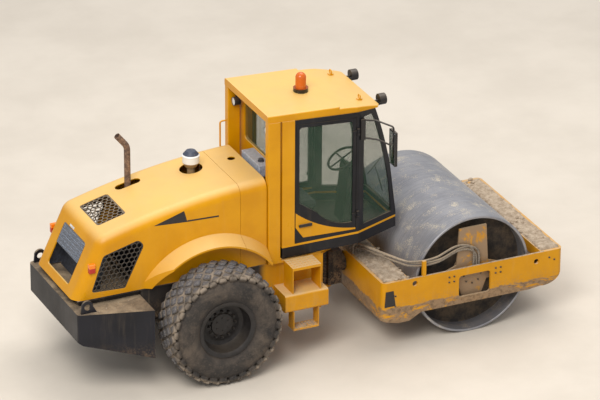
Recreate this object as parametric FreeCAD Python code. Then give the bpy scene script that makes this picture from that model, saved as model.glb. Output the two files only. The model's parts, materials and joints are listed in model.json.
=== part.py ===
"""Single-drum road roller: drum frame in front, tractor with cab and hood behind.

Millimetres. +X points forwards to the drum, +Y to the left, +Z up, and Z = 0 is the ground.
Each entry of NODES at the end is one sub-part, written to parts/NAME.step.
"""
import FreeCAD, Part
import math
import os

V = FreeCAD.Vector

# Articulation and oscillation joint between the two frames
PIVOT_X = 420.0
PIVOT_Z = 750.0
PIN_R = 50.0
BEARING_R = 120.0
TRUNNION_R = 80.0
TRUNNION_LENGTH = 150.0
HITCH_HALF = 150.0
HITCH_LENGTH = 267.0
EAR_TOP = 1025.0
EAR_LOW = 475.0
EAR_THICK = 40.0
EAR_END_R = 105.0
RUNNING_GAP = 0.3
SIDE_GAP = 8.0

# Drum and the frame around it
DRUM_R = 782.0
DRUM_HALF = 1063.0
DRUM_WALL = 32.0
DRUM_RECESS = 230.0
HUB_R = 90.0
END_SPACE = 45.0
REAR_SPACE = 109.0
FRONT_SPACE = 138.0
REAR_BEAM = 370.0
FRONT_BEAM = 303.0
FRAME_WALL = 30.0
FRAME_TOP = 930.0
FRAME_BOTTOM = 450.0
FRAME_TOE = 360.0
FRAME_CORNER_R = 70.0
FRAME_HALF = DRUM_HALF + END_SPACE + FRAME_WALL
FRAME_REAR = PIVOT_X + HITCH_LENGTH
BEAM_REAR = FRAME_REAR + REAR_BEAM
DRUM_X = BEAM_REAR + REAR_SPACE + DRUM_R
BEAM_FRONT = DRUM_X + DRUM_R + FRONT_SPACE
FRAME_FRONT = BEAM_FRONT + FRONT_BEAM
WINDOW_LENGTH = 434.0
WINDOW_HEIGHT = 290.0
WINDOW_Z = 685.0
WINDOW_R = 45.0
LIFT_HOLE_R = 35.0
TIE_HOLES = ((BEAM_REAR + 69.0, 856.0), (BEAM_FRONT - 66.0, 816.0))
SCRAPER_GAP = 8.0
SCRAPER_THICK = 24.0
SCRAPER_RIBS = (363.0 - DRUM_HALF, 0.0, DRUM_HALF - 363.0)
CARRIER_THICK = 25.0
CARRIER_TOP = DRUM_R - 132.0
BUFFER_THICK = 48.0
BUFFER_R = 55.0
BUFFER_REACH = 320.0
PORT_TOP = DRUM_R + 80.0

# Hydraulic hoses on the right side plate: route points are from the seat of each end
HOSE_R = 14.0
HOSE_BEND = 400.0
HOSE_Y = -(DRUM_HALF + 22.0)
HOSE_OFFSETS = ((0, 0), (36, 32), (-36, 64))
HOSE_ROUTE = (
    (760, -215, 0), (760, -215, 75), (778, -330, 130), (800, -480, 150), (835, -660, 165),
    (880, -830, 185), (950, -985, 185), (1060, HOSE_Y, 155), (1190, HOSE_Y, 128),
    (1330, HOSE_Y, 118), (1480, HOSE_Y, 130), (1600, HOSE_Y, 180), (1710, HOSE_Y, 225),
    (1820, HOSE_Y, 235), (1920, HOSE_Y, 205), (1982, HOSE_Y, 140), (1990, HOSE_Y, 60),
    (1990, HOSE_Y, 0),
)
POST_X = 1255.0
POST_HALF = 24.0
POST_HEIGHT = 200.0

# Widths that the hood, the chassis and the wheels share
HOOD_HALF = 620.0
CHASSIS_INSET = 20.0
TYRE_SPACE = 20.0
CHASSIS_HALF = HOOD_HALF - CHASSIS_INSET

# Rear wheels and axle
AXLE_X = -1376.0
TYRE_R = 745.0
TYRE_WIDTH = 530.0
TYRE_OUT = HOOD_HALF + TYRE_SPACE + TYRE_WIDTH
BEAD_INSET = 45.0
FLANGE = 16.0
HUB_DEPTH = 140.0
SHOULDER_R = 65.0
SHOULDER_INSET = 30.0
RIM_R = 335.0
RIM_LIP_R = 365.0
RIM_WALL = 25.0
RIM_DISH = 230.0
SPINDLE_R = 70.0
AXLE_TUBE_R = 105.0
DIFFERENTIAL_R = 190.0

# Tractor chassis
PLATE = 40.0
DECK_TOP = 1246.0
DECK_PLATE = 20.0
NOSE_TOP = 1270.0
CHASSIS_FRONT = 130.0
WEIGHT_REAR = -3170.0
WEIGHT_FRONT = -2280.0
WEIGHT_TOP = 1152.0
WEIGHT_REAR_HALF = 790.0
WEIGHT_FRONT_HALF = 1034.0
EAR_PLATE = 30.0
EAR_HOLE_R = 40.0

# Engine hood
HOOD_FRONT = -632.0
HOOD_SEAM = -977.0
SEAM_GAP = 4.0
HOOD_REAR_BOTTOM = -3154.0
HOOD_WALL = 12.0
HOOD_TOP_FRONT = 2366.0
HOOD_EDGE_R = 130.0
HOOD_TAIL_R = 190.0
ARCH_R = 930.0
FLARE_R = 1045.0
FLARE_OUT = HOOD_HALF + 180.0
FLARE_LIP = 22.0
TAIL_X = -2800.0
TAIL_Z = HOOD_TOP_FRONT - 366.0
TAIL_HOLE_HALF = 338.0
TAIL_HOLE_TOP = HOOD_TOP_FRONT - 518.0
TAIL_MESH_LOW = HOOD_TOP_FRONT - 766.0
TOP_MESH = (-2515.0, 185.0, 300.0)
LAMP_REAR = -2950.0
MESH_THICK = 6.0
MESH_INSET = 3.0
MESH_PITCH = 66.0
MESH_BAR = 12.0
MESH_RIM = 14.0
MESH_REACH = 400.0
STACK_X = -2050.0
STACK_Y = 330.0
STACK_R = 39.0
STACK_WALL = 4.0
STACK_TOP = HOOD_TOP_FRONT + 484.0
STACK_SPACE = 23.0
SLOT_HALF = 100.0
INTAKE_X = -1280.0
INTAKE_Y = 180.0
BOWL_R = 104.0
BOWL_Z = HOOD_TOP_FRONT - 26.0
ENGINE_TOP = HOOD_TOP_FRONT - 516.0
FILLER_X = -760.0
FILLER_Y = 150.0
FILLER_R = 48.0

# Cab
CAB_REAR = -440.0
CAB_HALF = 650.0
CAB_WALL = 45.0
FLOOR_BOTTOM = 1300.0
FLOOR_THICK = 40.0
SKIRT_TOP = 1460.0
SILL_Z = SKIRT_TOP + 70.0
HINGE_X = 560.0
CHAMFER_X = HINGE_X + 20.0
QUARTER_SLOPE = 0.40
REAR_PANEL_FRONT = -275.0
GLASS = 6.0
GLASS_INSET = 16.0
ROOF_SLOPE = 0.055
ROOF_BASE = 3085.0
ROOF_THICK = 90.0
SCREEN_BOTTOM = 1212.0
SCREEN_BULGE = (1086.0, ROOF_BASE - 835.0)
SCREEN_TOP = 836.0
POST_REAR = -622.0
POST_FRONT = -460.0
POST_WIDTH = 100.0
POST_FOOT = 30.0
ROOF_REAR = POST_REAR - 6.0
VISOR_X = 900.0
BEACON_R = 66.0
LAMP_R = 70.0
REAR_LAMP_R = 55.0
DOOR_GAP = 5.0
DOOR_THICK = 40.0
DOOR_REAR = -254.0
DOOR_FRONT = HINGE_X - 18.0
DOOR_TOP_REAR = ROOF_BASE - 51.0
DOOR_TOP_FRONT = ROOF_BASE - 99.0
DOOR_RAIL = 42.0
PANE_REAR_LOW = 1990.0
PANE_FRONT_LOW = 1606.0
HINGE_PIN_R = 7.0
KNUCKLE_R = 16.0
KNUCKLE_HALF = 20.0
LUG_GAP = 3.0
LUG_HEIGHT = 22.0
HINGE_HEIGHTS = (1700.0, ROOF_BASE - 285.0)
HINGE_Y = CAB_HALF + 18.0

# Seat and steering wheel
SEAT_TOP = 1670.0
SEAT_LEAN = 0.14
SEAT_PLATE = 30.0
BACK_TOP = 2250.0
CUSHION = 100.0
WHEEL_X = 665.0
WHEEL_Z = 2151.0
WHEEL_R = 190.0
WHEEL_TILT = 30.0

# Steps and tanks
TANK_OUT = 950.0
TANK_REAR = -530.0
TANK_FRONT = 45.0
TANK_TOP = 930.0
TANK_BOTTOM = 700.0
STEP_REAR = -420.0
STEP_FRONT = -40.0
STEP_PLATE = 10.0
STEP_LOW = 440.0
STEP_OUT = TANK_OUT - 30.0

# Limits of cutting tools, beyond every face that they trim
FAR = 5000.0
OVER_ROOF = ROOF_BASE + 2 * ROOF_THICK + 200.0
UNDER_CAB = FLOOR_BOTTOM - 50.0
OVER_HOOD = HOOD_TOP_FRONT + 200.0


def box(x0, x1, y0, y1, z0, z1):
    return Part.makeBox(x1 - x0, y1 - y0, z1 - z0, V(x0, y0, z0))


def cyl_x(radius, x0, x1, y, z):
    return Part.makeCylinder(radius, x1 - x0, V(x0, y, z), V(1, 0, 0))


def cyl_y(radius, y0, y1, x, z):
    return Part.makeCylinder(radius, y1 - y0, V(x, y0, z), V(0, 1, 0))


def cyl_z(radius, z0, z1, x, y):
    return Part.makeCylinder(radius, z1 - z0, V(x, y, z0), V(0, 0, 1))


def wire(start, *steps):
    """Closed wire of lines and arcs: a step is a point, or a (via, end) pair for an arc."""
    edges = []
    here = start
    for step in steps:
        if isinstance(step, tuple):
            via, end = step
            edges.append(Part.Arc(here, via, end).toShape())
        else:
            end = step
            edges.append(Part.LineSegment(here, end).toShape())
        here = end
    if here.distanceToPoint(start) > 0.001:
        edges.append(Part.LineSegment(here, start).toShape())
    return Part.Wire(edges)


def side_prism(points, y0, y1):
    """Prism between y0 and y1 of an outline in the X-Z plane."""
    steps = [
        tuple(V(q[0], y0, q[1]) for q in p) if isinstance(p[0], tuple) else V(p[0], y0, p[1])
        for p in points
    ]
    return Part.Face(wire(*steps)).extrude(V(0, y1 - y0, 0))


def plan_prism(points, z0, z1):
    """Prism between z0 and z1 of an outline in the X-Y plane."""
    steps = [
        tuple(V(q[0], q[1], z0) for q in p) if isinstance(p[0], tuple) else V(p[0], p[1], z0)
        for p in points
    ]
    return Part.Face(wire(*steps)).extrude(V(0, 0, z1 - z0))


def front_prism(points, x0, x1):
    """Prism between x0 and x1 of an outline in the Y-Z plane."""
    return Part.Face(wire(*[V(x0, y, z) for y, z in points])).extrude(V(x1 - x0, 0, 0))


def turned(points, x, z):
    """Solid of revolution about the Y axis line through (x, z); points are (y, radius)."""
    steps = [
        tuple(V(x, q[0], z + q[1]) for q in p) if isinstance(p[0], tuple) else V(x, p[0], z + p[1])
        for p in points
    ]
    return Part.Face(wire(*steps)).revolve(V(x, 0, z), V(0, 1, 0), 360)


def mirrored(shape):
    return shape.mirror(V(0, 0, 0), V(0, 1, 0))


def both_sides(shape):
    """The shape and its mirror image as two separate solids."""
    return Part.makeCompound([shape, mirrored(shape)])


def fused(*shapes):
    return shapes[0].multiFuse(list(shapes[1:])).removeSplitter()


def rounded(shape, radius, test):
    """Fillet the edges whose centre of mass passes the test."""
    edges = [e for e in shape.Edges if test(e.CenterOfMass, e)]
    return shape.makeFillet(radius, edges)


def along(edge, axis):
    """True for a straight edge that runs along the axis."""
    if len(edge.Vertexes) < 2 or not isinstance(edge.Curve, Part.Line):
        return False
    return abs(abs(edge.Curve.Direction.dot(axis)) - 1) < 1e-6


def rod(points, radius, bend):
    """Round bar through the points, its corners rounded to the bend radius or less."""
    edges = []
    here = points[0]
    for before, corner, after in zip(points, points[1:], points[2:]):
        back = (before - corner).normalize()
        ahead = (after - corner).normalize()
        half_turn = (math.pi - back.getAngle(ahead)) / 2
        run = min((before - corner).Length, (after - corner).Length)
        size = min(bend, 0.45 * run / math.tan(half_turn))
        setback = size * math.tan(half_turn)
        middle = (back + ahead).normalize()
        tip = size / math.cos(half_turn) - size
        start = corner + back * setback
        end = corner + ahead * setback
        edges.append(Part.LineSegment(here, start).toShape())
        edges.append(Part.Arc(start, corner + middle * tip, end).toShape())
        here = end
    edges.append(Part.LineSegment(here, points[-1]).toShape())
    path = Part.Wire(edges)
    ring = Part.Wire([Part.makeCircle(radius, points[0], points[1] - points[0])])
    return path.makePipeShell([ring], True, False)


# Drum end

def drum():
    """Rolled shell with a disc set back from each end, bored for the hub."""
    inner = DRUM_R - DRUM_WALL
    disc_out = DRUM_HALF - DRUM_RECESS
    disc_in = disc_out - DRUM_WALL
    bore = HUB_R + RUNNING_GAP
    half = turned([
        (0, DRUM_R), (DRUM_HALF, DRUM_R), (DRUM_HALF, inner), (disc_out, inner),
        (disc_out, bore), (disc_in, bore), (disc_in, inner), (0, inner),
    ], DRUM_X, DRUM_R)
    return fused(half, mirrored(half))


def drum_frame():
    """Welded ring of two side plates and two box beams, with a window beside each hub."""
    height = FRAME_TOP - FRAME_TOE
    ring = box(FRAME_REAR, FRAME_FRONT, -FRAME_HALF, FRAME_HALF, FRAME_TOE, FRAME_TOP)
    ring = rounded(ring, FRAME_CORNER_R, lambda c, e: along(e, V(0, 0, 1)))
    inner_half = FRAME_HALF - FRAME_WALL
    inside = box(BEAM_REAR, BEAM_FRONT, -inner_half, inner_half, FRAME_TOE - 1, FRAME_TOP + 1)
    ring = ring.cut(inside)
    belly = side_prism([
        (FRAME_REAR - 10, FRAME_TOE - 10), (FRAME_REAR - 10, FRAME_TOE + 0.1 * height),
        (BEAM_REAR - 150, FRAME_TOE), (BEAM_REAR, FRAME_TOE),
        (BEAM_REAR + 160, FRAME_BOTTOM), (BEAM_FRONT - 160, FRAME_BOTTOM),
        (BEAM_FRONT, FRAME_BOTTOM + 20),
        ((FRAME_FRONT - 90, FRAME_BOTTOM + 70), (FRAME_FRONT + 10, FRAME_BOTTOM + 210)),
        (FRAME_FRONT + 10, FRAME_TOE - 10),
    ], -FRAME_HALF - 10, FRAME_HALF + 10)
    ring = ring.cut(belly)
    window = box(DRUM_X - WINDOW_LENGTH / 2, DRUM_X + WINDOW_LENGTH / 2,
                 -FRAME_HALF - 10, FRAME_HALF + 10,
                 WINDOW_Z - WINDOW_HEIGHT / 2, WINDOW_Z + WINDOW_HEIGHT / 2)
    window = rounded(window, WINDOW_R, lambda c, e: along(e, V(0, 1, 0)))
    ring = ring.cut(window)
    for hole_x, hole_z in TIE_HOLES:
        ring = ring.cut(cyl_y(LIFT_HOLE_R, -FRAME_HALF - 10, FRAME_HALF + 10, hole_x, hole_z))
    bore = cyl_x(TRUNNION_R + RUNNING_GAP, FRAME_REAR - 1, FRAME_REAR + TRUNNION_LENGTH + 10,
                 0, PIVOT_Z)
    return fused(ring.cut(bore), hose_post())


def drum_carrier():
    """Left cross-shaped plate with motor, hub and hose port, held to the frame by buffers."""
    plate_out = FRAME_HALF - FRAME_WALL - BUFFER_THICK
    plate_in = plate_out - CARRIER_THICK
    disc_out = DRUM_HALF - DRUM_RECESS
    arm = BUFFER_REACH + 80
    half = [(120, -300), (200, -90), (arm, -90), (arm, 90), (215, 160), (185, CARRIER_TOP)]
    outline = half + [(-dx, dz) for dx, dz in reversed(half)]
    plate = side_prism([(DRUM_X + dx, DRUM_R + dz) for dx, dz in outline], plate_in, plate_out)
    motor = cyl_y(150, disc_out + SIDE_GAP, plate_in, DRUM_X, DRUM_R)
    hub = cyl_y(HUB_R, disc_out - DRUM_WALL, disc_out + SIDE_GAP, DRUM_X, DRUM_R)
    port = box(DRUM_X - 45, DRUM_X + 130, plate_out, plate_out + 42, PORT_TOP - 60, PORT_TOP)
    return fused(plate, motor, hub, port)


def drum_buffers():
    """Rubber buffers that join the carrier plate's arms to the side plate."""
    seat = FRAME_HALF - FRAME_WALL
    buffers = []
    for dx in (-BUFFER_REACH, BUFFER_REACH):
        buffers.append(cyl_y(BUFFER_R, seat - BUFFER_THICK, seat, DRUM_X + dx, DRUM_R + 30))
    return Part.makeCompound(buffers + [mirrored(b) for b in buffers])


def scrapers():
    """One blade behind the drum and one before it, each on two brackets."""
    blades = []
    for beam, edge in ((BEAM_REAR, DRUM_X - DRUM_R - SCRAPER_GAP),
                       (BEAM_FRONT, DRUM_X + DRUM_R + SCRAPER_GAP)):
        low, high = sorted((beam, edge))
        z0 = DRUM_R - SCRAPER_THICK / 2
        blade = box(low, high, -DRUM_HALF + 20, DRUM_HALF - 20, z0, z0 + SCRAPER_THICK)
        for y in SCRAPER_RIBS:
            tip = (high - 45) if beam == low else (low + 45)
            rib = side_prism([(beam, z0 - 110), (beam, z0), (tip, z0)], y - 8, y + 8)
            blade = blade.fuse(rib)
        blades.append(blade.removeSplitter())
    return Part.makeCompound(blades)


def hose_post():
    """Post on the right side plate that guides the hoses."""
    return box(POST_X - POST_HALF, POST_X + POST_HALF, -FRAME_HALF + 5,
               HOSE_Y - HOSE_R - RUNNING_GAP, FRAME_TOP, FRAME_TOP + POST_HEIGHT)


def drum_hoses():
    """Hoses from the rear beam, along the right side plate and down to the drum motor."""
    hoses = []
    last = len(HOSE_ROUTE) - 1
    for dx, dz in HOSE_OFFSETS:
        points = []
        for index, (x, y, z) in enumerate(HOSE_ROUTE):
            seat = PORT_TOP if index == last else FRAME_TOP
            lift = RUNNING_GAP if index in (0, last) else dz
            points.append(V(x + dx, y, seat + z + lift))
        hoses.append(rod(points, HOSE_R, HOSE_BEND))
    for hose in hoses:
        length = hose.Volume / (math.pi * HOSE_R ** 2)
        print("hose radius", HOSE_R, "length", round(length), "volume", round(hose.Volume))
    return Part.makeCompound(hoses)


# Articulation

def hitch():
    """Joint block: an upright pin to the tractor and a bearing with a trunnion to the drum frame."""
    low = EAR_LOW + EAR_THICK + SIDE_GAP
    high = EAR_TOP - EAR_THICK - SIDE_GAP
    bearing_end = FRAME_REAR - SIDE_GAP
    block = box(PIVOT_X, PIVOT_X + 180, -HITCH_HALF, HITCH_HALF, low, high)
    barrel = cyl_z(95, low, high, PIVOT_X, 0)
    block = fused(block, barrel)
    pin = cyl_z(PIN_R, EAR_LOW, EAR_TOP, PIVOT_X, 0)
    bearing = cyl_x(BEARING_R, PIVOT_X + 100, bearing_end, 0, PIVOT_Z)
    trunnion = cyl_x(TRUNNION_R, bearing_end, FRAME_REAR + TRUNNION_LENGTH, 0, PIVOT_Z)
    return fused(block, pin, bearing, trunnion)


# Tractor chassis

def nose_ear(z0):
    """Plate that tapers from the cross plate to a round end at the pin."""
    ear = plan_prism([
        (CHASSIS_FRONT, -300), (PIVOT_X, -EAR_END_R),
        ((PIVOT_X + EAR_END_R, 0), (PIVOT_X, EAR_END_R)), (CHASSIS_FRONT, 300),
    ], z0, z0 + EAR_THICK)
    return ear.cut(cyl_z(PIN_R + RUNNING_GAP, z0 - 1, z0 + EAR_THICK + 1, PIVOT_X, 0))


def chassis():
    inner = CHASSIS_HALF - PLATE
    deck_low = DECK_TOP - DECK_PLATE
    side = side_prism([
        (WEIGHT_FRONT, deck_low), (WEIGHT_FRONT, 760), (-1950, 860), (-850, 860), (-640, 620),
        (CHASSIS_FRONT, 620), (CHASSIS_FRONT, NOSE_TOP - 30), (-640, NOSE_TOP - 30),
        (-640, deck_low),
    ], inner, CHASSIS_HALF)
    parts = [side, mirrored(side)]
    parts.append(box(CHASSIS_FRONT - 30, CHASSIS_FRONT, -inner, inner, EAR_LOW, NOSE_TOP - 30))
    parts.append(box(WEIGHT_FRONT, WEIGHT_FRONT + 30, -inner, inner, 760, deck_low))
    for x in (-2060.0, -1360.0, -700.0):
        parts.append(box(x, x + 50, -inner, inner, 950, 990))
    parts.append(nose_ear(EAR_TOP - EAR_THICK))
    parts.append(nose_ear(EAR_LOW))
    for y in (-150.0, 130.0):
        parts.append(side_prism([
            (CHASSIS_FRONT, EAR_TOP), (CHASSIS_FRONT + 180, EAR_TOP), (CHASSIS_FRONT, 1200),
        ], y, y + 20))
    nose = plan_prism([
        (POST_REAR - 2, -CAB_HALF), (-250, -CAB_HALF), (100, -CHASSIS_HALF), (520, -330),
        (520, 330), (100, CHASSIS_HALF), (-250, CAB_HALF), (POST_REAR - 2, CAB_HALF),
    ], NOSE_TOP - 30, NOSE_TOP)
    parts.append(nose)
    for y in (-320.0, 300.0):
        parts.append(side_prism([
            (CHASSIS_FRONT, NOSE_TOP - 30), (500, NOSE_TOP - 30), (CHASSIS_FRONT, NOSE_TOP - 190),
        ], y, y + 20))
    deck = box(-3100, HOOD_FRONT - 2, -HOOD_HALF, HOOD_HALF, deck_low, DECK_TOP)
    hatch = HOOD_HALF - 140
    deck = deck.cut(box(-2640, -1000, -hatch, hatch, deck_low - 1, DECK_TOP + 1))
    parts.append(deck)
    for y in (-inner, inner - PLATE):
        parts.append(box(-3060, WEIGHT_FRONT, y, y + PLATE, WEIGHT_TOP, deck_low))
    return fused(*parts)


def counterweight():
    """Cast block whose sides spread towards the wheels, with a lifting ear at each rear corner."""
    body = plan_prism([
        (WEIGHT_REAR, -WEIGHT_REAR_HALF), (WEIGHT_REAR, WEIGHT_REAR_HALF),
        (WEIGHT_FRONT, WEIGHT_FRONT_HALF), (WEIGHT_FRONT, -WEIGHT_FRONT_HALF),
    ], 400, WEIGHT_TOP)
    body = rounded(body, 45, lambda c, e: along(e, V(0, 0, 1)) and c.x < WEIGHT_REAR + 10)
    under = side_prism([
        (WEIGHT_REAR - 10, 390), (WEIGHT_REAR - 10, 790), (WEIGHT_REAR + 60, 740),
        (WEIGHT_FRONT + 10, 510), (WEIGHT_FRONT + 10, 390),
    ], -WEIGHT_FRONT_HALF - 10, WEIGHT_FRONT_HALF + 10)
    body = body.cut(under)
    ear = side_prism([
        (WEIGHT_REAR + 50, WEIGHT_TOP), (WEIGHT_REAR + 60, 1240),
        ((WEIGHT_REAR + 130, 1315), (WEIGHT_REAR + 200, 1240)), (WEIGHT_REAR + 250, WEIGHT_TOP),
    ], WEIGHT_REAR_HALF - 40, WEIGHT_REAR_HALF - 40 + EAR_PLATE)
    ear = ear.cut(cyl_y(EAR_HOLE_R, 0, 900, WEIGHT_REAR + 130, 1232))
    return fused(body, ear, mirrored(ear))


def rear_axle():
    """Axle housing with a differential, spindles in the wheel hubs and pads under the chassis."""
    hub_in = TYRE_OUT - RIM_DISH - HUB_DEPTH
    tube = cyl_y(AXLE_TUBE_R, -hub_in + 10, hub_in - 10, AXLE_X, TYRE_R)
    diff = cyl_y(DIFFERENTIAL_R, -130, 130, AXLE_X, TYRE_R)
    nose = cyl_x(90, AXLE_X, AXLE_X + 330, 0, TYRE_R)
    parts = [tube, diff, nose]
    for sign in (-1, 1):
        low, high = sorted((sign * (hub_in - 90), sign * (hub_in - 10)))
        parts.append(cyl_y(150, low, high, AXLE_X, TYRE_R))
        low, high = sorted((sign * (hub_in - 10), sign * (hub_in + 130)))
        parts.append(cyl_y(SPINDLE_R, low, high, AXLE_X, TYRE_R))
        low, high = sorted((sign * (CHASSIS_HALF - 90), sign * CHASSIS_HALF))
        parts.append(box(AXLE_X - 120, AXLE_X + 120, low, high, TYRE_R, 860))
    return fused(*parts)


def tyre():
    """Left tyre, seated on the rim between its flanges."""
    inside = TYRE_OUT - TYRE_WIDTH
    bead_in = inside + BEAD_INSET
    bead_out = TYRE_OUT - BEAD_INSET
    bead_top = RIM_LIP_R + 15
    belly_r = (bead_top + TYRE_R) / 2 - 32.5
    shoulder = TYRE_R - SHOULDER_R
    wall_in = inside + SHOULDER_INSET
    wall_out = TYRE_OUT - SHOULDER_INSET
    bow = SHOULDER_R * (1 - math.sqrt(0.5))
    return turned([
        (bead_in, RIM_R), (bead_in, bead_top),
        ((inside, belly_r), (wall_in, shoulder)),
        ((wall_in + bow, TYRE_R - bow), (wall_in + SHOULDER_R, TYRE_R)),
        (wall_out - SHOULDER_R, TYRE_R),
        ((wall_out - bow, TYRE_R - bow), (wall_out, shoulder)),
        ((TYRE_OUT, belly_r), (bead_out, bead_top)), (bead_out, RIM_R),
    ], AXLE_X, TYRE_R)


def rim():
    """Left rim: flanged barrel, a disc set deep inside, and a hub bored for the spindle."""
    bead_in = TYRE_OUT - TYRE_WIDTH + BEAD_INSET
    bead_out = TYRE_OUT - BEAD_INSET
    face = TYRE_OUT - RIM_DISH
    hub_in = face - HUB_DEPTH
    bore = SPINDLE_R + RUNNING_GAP
    barrel_r = RIM_R - RIM_WALL
    return turned([
        (bead_in, RIM_R), (bead_out, RIM_R), (bead_out, RIM_LIP_R),
        (bead_out + FLANGE, RIM_LIP_R), (bead_out + FLANGE, barrel_r), (face, barrel_r - 30),
        (face, SPINDLE_R + 105), (face + 40, SPINDLE_R + 80), (face + 40, 0), (face, 0),
        (face, bore), (hub_in, bore), (hub_in, SPINDLE_R + 60), (face - 28, SPINDLE_R + 80),
        (face - 28, barrel_r - 30), (bead_in - FLANGE, barrel_r), (bead_in - FLANGE, RIM_LIP_R),
        (bead_in, RIM_LIP_R),
    ], AXLE_X, TYRE_R)


# Hood

def hood_solid(inset):
    """Whole hood body, its faces moved inwards by the inset."""
    half = HOOD_HALF - inset
    low = DECK_TOP if inset == 0 else DECK_TOP - 10
    body = side_prism([
        (HOOD_FRONT - inset, low), (HOOD_FRONT - inset, HOOD_TOP_FRONT - inset),
        ((-1700, HOOD_TOP_FRONT - 112 - inset), (TAIL_X + inset, TAIL_Z - inset)),
        (HOOD_REAR_BOTTOM + inset, low),
    ], -half, half)
    body = rounded(body, HOOD_TAIL_R - inset,
                   lambda c, e: along(e, V(0, 1, 0)) and c.z > TAIL_Z - 100 and c.x < TAIL_X + 100)
    return rounded(body, HOOD_EDGE_R - inset,
                   lambda c, e: abs(abs(c.y) - half) < 1 and c.z > low + 5
                   and c.x < HOOD_FRONT - inset - 1)


def flare():
    """Left mudguard flare: a band round the wheel arch that leans outwards to its lip."""
    band = turned([
        (HOOD_HALF - HOOD_WALL, ARCH_R), (FLARE_OUT, ARCH_R), (FLARE_OUT, ARCH_R + FLARE_LIP),
        (HOOD_HALF, FLARE_R), (HOOD_HALF - HOOD_WALL, FLARE_R),
    ], AXLE_X, TYRE_R)
    keep = plan_prism([
        (-2240, HOOD_HALF - HOOD_WALL), (-2240, HOOD_HALF), (-1930, FLARE_OUT + 1),
        (HOOD_FRONT, FLARE_OUT + 1), (HOOD_FRONT, HOOD_HALF - HOOD_WALL),
    ], DECK_TOP, OVER_HOOD)
    return band.common(keep)


def hood_shell():
    """Hood wall with arches, flares, inner arch walls and all its holes."""
    shell = hood_solid(0).cut(hood_solid(HOOD_WALL))
    shell = shell.cut(cyl_y(ARCH_R, -FAR, FAR, AXLE_X, TYRE_R))
    left = flare()
    wall_in = HOOD_HALF - 2 * HOOD_WALL
    inner = cyl_y(ARCH_R + 5, wall_in, HOOD_HALF - HOOD_WALL, AXLE_X, TYRE_R)
    inner = inner.common(box(-FAR, HOOD_FRONT, 0, FAR, DECK_TOP, OVER_HOOD))
    shell = fused(shell, left, mirrored(left), inner, mirrored(inner))
    for opening in (tail_hole(), top_hole(), side_hole(), mirrored(side_hole())):
        shell = shell.cut(opening)
    slot_r = STACK_R + STACK_SPACE
    over_engine = ENGINE_TOP + 50
    for dx in (-SLOT_HALF, SLOT_HALF):
        shell = shell.cut(cyl_z(slot_r, over_engine, OVER_HOOD, STACK_X + dx, STACK_Y))
    shell = shell.cut(box(STACK_X - SLOT_HALF, STACK_X + SLOT_HALF, STACK_Y - slot_r,
                          STACK_Y + slot_r, over_engine, OVER_HOOD))
    shell = shell.cut(cyl_z(BOWL_R + 38, over_engine, OVER_HOOD, INTAKE_X, INTAKE_Y))
    return shell.cut(cyl_z(FILLER_R, over_engine, OVER_HOOD, FILLER_X, FILLER_Y))


def side_hole(inset=0):
    """Outline of the left side mesh, through the hood wall."""
    corners = [(-2307, HOOD_TOP_FRONT - 460), (-2233, HOOD_TOP_FRONT - 539),
               (-2488, DECK_TOP + 60), (-2925, DECK_TOP + 80), (-2764, HOOD_TOP_FRONT - 584)]
    low = HOOD_HALF - HOOD_WALL - 20
    face = Part.Face(wire(*[V(x, low, z) for x, z in corners]))
    if inset:
        face = face.makeOffset2D(-inset)
    hole = face.extrude(V(0, HOOD_HALF + 20 - low, 0))
    middle = (HOOD_TOP_FRONT + DECK_TOP) / 2 - 250
    hole = rounded(hole, 70 - inset, lambda c, e: along(e, V(0, 1, 0)) and c.z > middle)
    return rounded(hole, 30, lambda c, e: along(e, V(0, 1, 0)) and c.z < middle)


def top_hole(inset=0):
    x, half_length, half = TOP_MESH
    hole = box(x - half_length + inset, x + half_length - inset, -half + inset, half - inset,
               HOOD_TOP_FRONT - 416, OVER_HOOD)
    return rounded(hole, 40, lambda c, e: along(e, V(0, 0, 1)))


def tail_hole():
    hole = box(HOOD_REAR_BOTTOM - 50, TAIL_X + 100, -TAIL_HOLE_HALF, TAIL_HOLE_HALF,
               DECK_TOP + 95, TAIL_HOLE_TOP)
    return rounded(hole, 40, lambda c, e: along(e, V(1, 0, 0)))


def hood():
    """Rear part of the shell, behind the seam: the engine hood."""
    return HOOD_SHELL.common(box(-FAR, HOOD_SEAM - SEAM_GAP / 2, -FAR, FAR, 0, OVER_HOOD))


def hood_cowl():
    """Front part of the shell, next to the cab."""
    return HOOD_SHELL.common(box(HOOD_SEAM + SEAM_GAP / 2, FAR, -FAR, FAR, 0, OVER_HOOD))


def panel(outline):
    """Thin sheet in the hood wall that fills an outline."""
    outer = hood_solid(MESH_INSET)
    return outer.cut(hood_solid(MESH_INSET + MESH_THICK)).common(outline)


def honeycomb(reach, depth):
    """Hexagonal prisms along Z, in rows that cover a square about the origin."""
    radius = (MESH_PITCH - MESH_BAR) / math.sqrt(3)
    row_step = MESH_PITCH * math.sqrt(0.75)
    rows = int(reach / row_step)
    columns = int(reach / MESH_PITCH)
    cells = []
    for row in range(-rows, rows + 1):
        for column in range(-columns, columns + 1):
            x = (column + 0.5 * (row % 2)) * MESH_PITCH
            y = row * row_step
            corners = [V(x + radius * math.sin(k * math.pi / 3),
                         y + radius * math.cos(k * math.pi / 3), -depth) for k in range(7)]
            cells.append(Part.Face(Part.makePolygon(corners)).extrude(V(0, 0, 2 * depth)))
    return Part.makeCompound(cells)


def punched(sheet, window, centre, turn):
    """Sheet with honeycomb holes wherever the window lets them through."""
    cells = honeycomb(MESH_REACH, 2 * HOOD_EDGE_R)
    cells.Placement = FreeCAD.Placement(centre, turn)
    return sheet.cut(cells.common(window))


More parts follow.
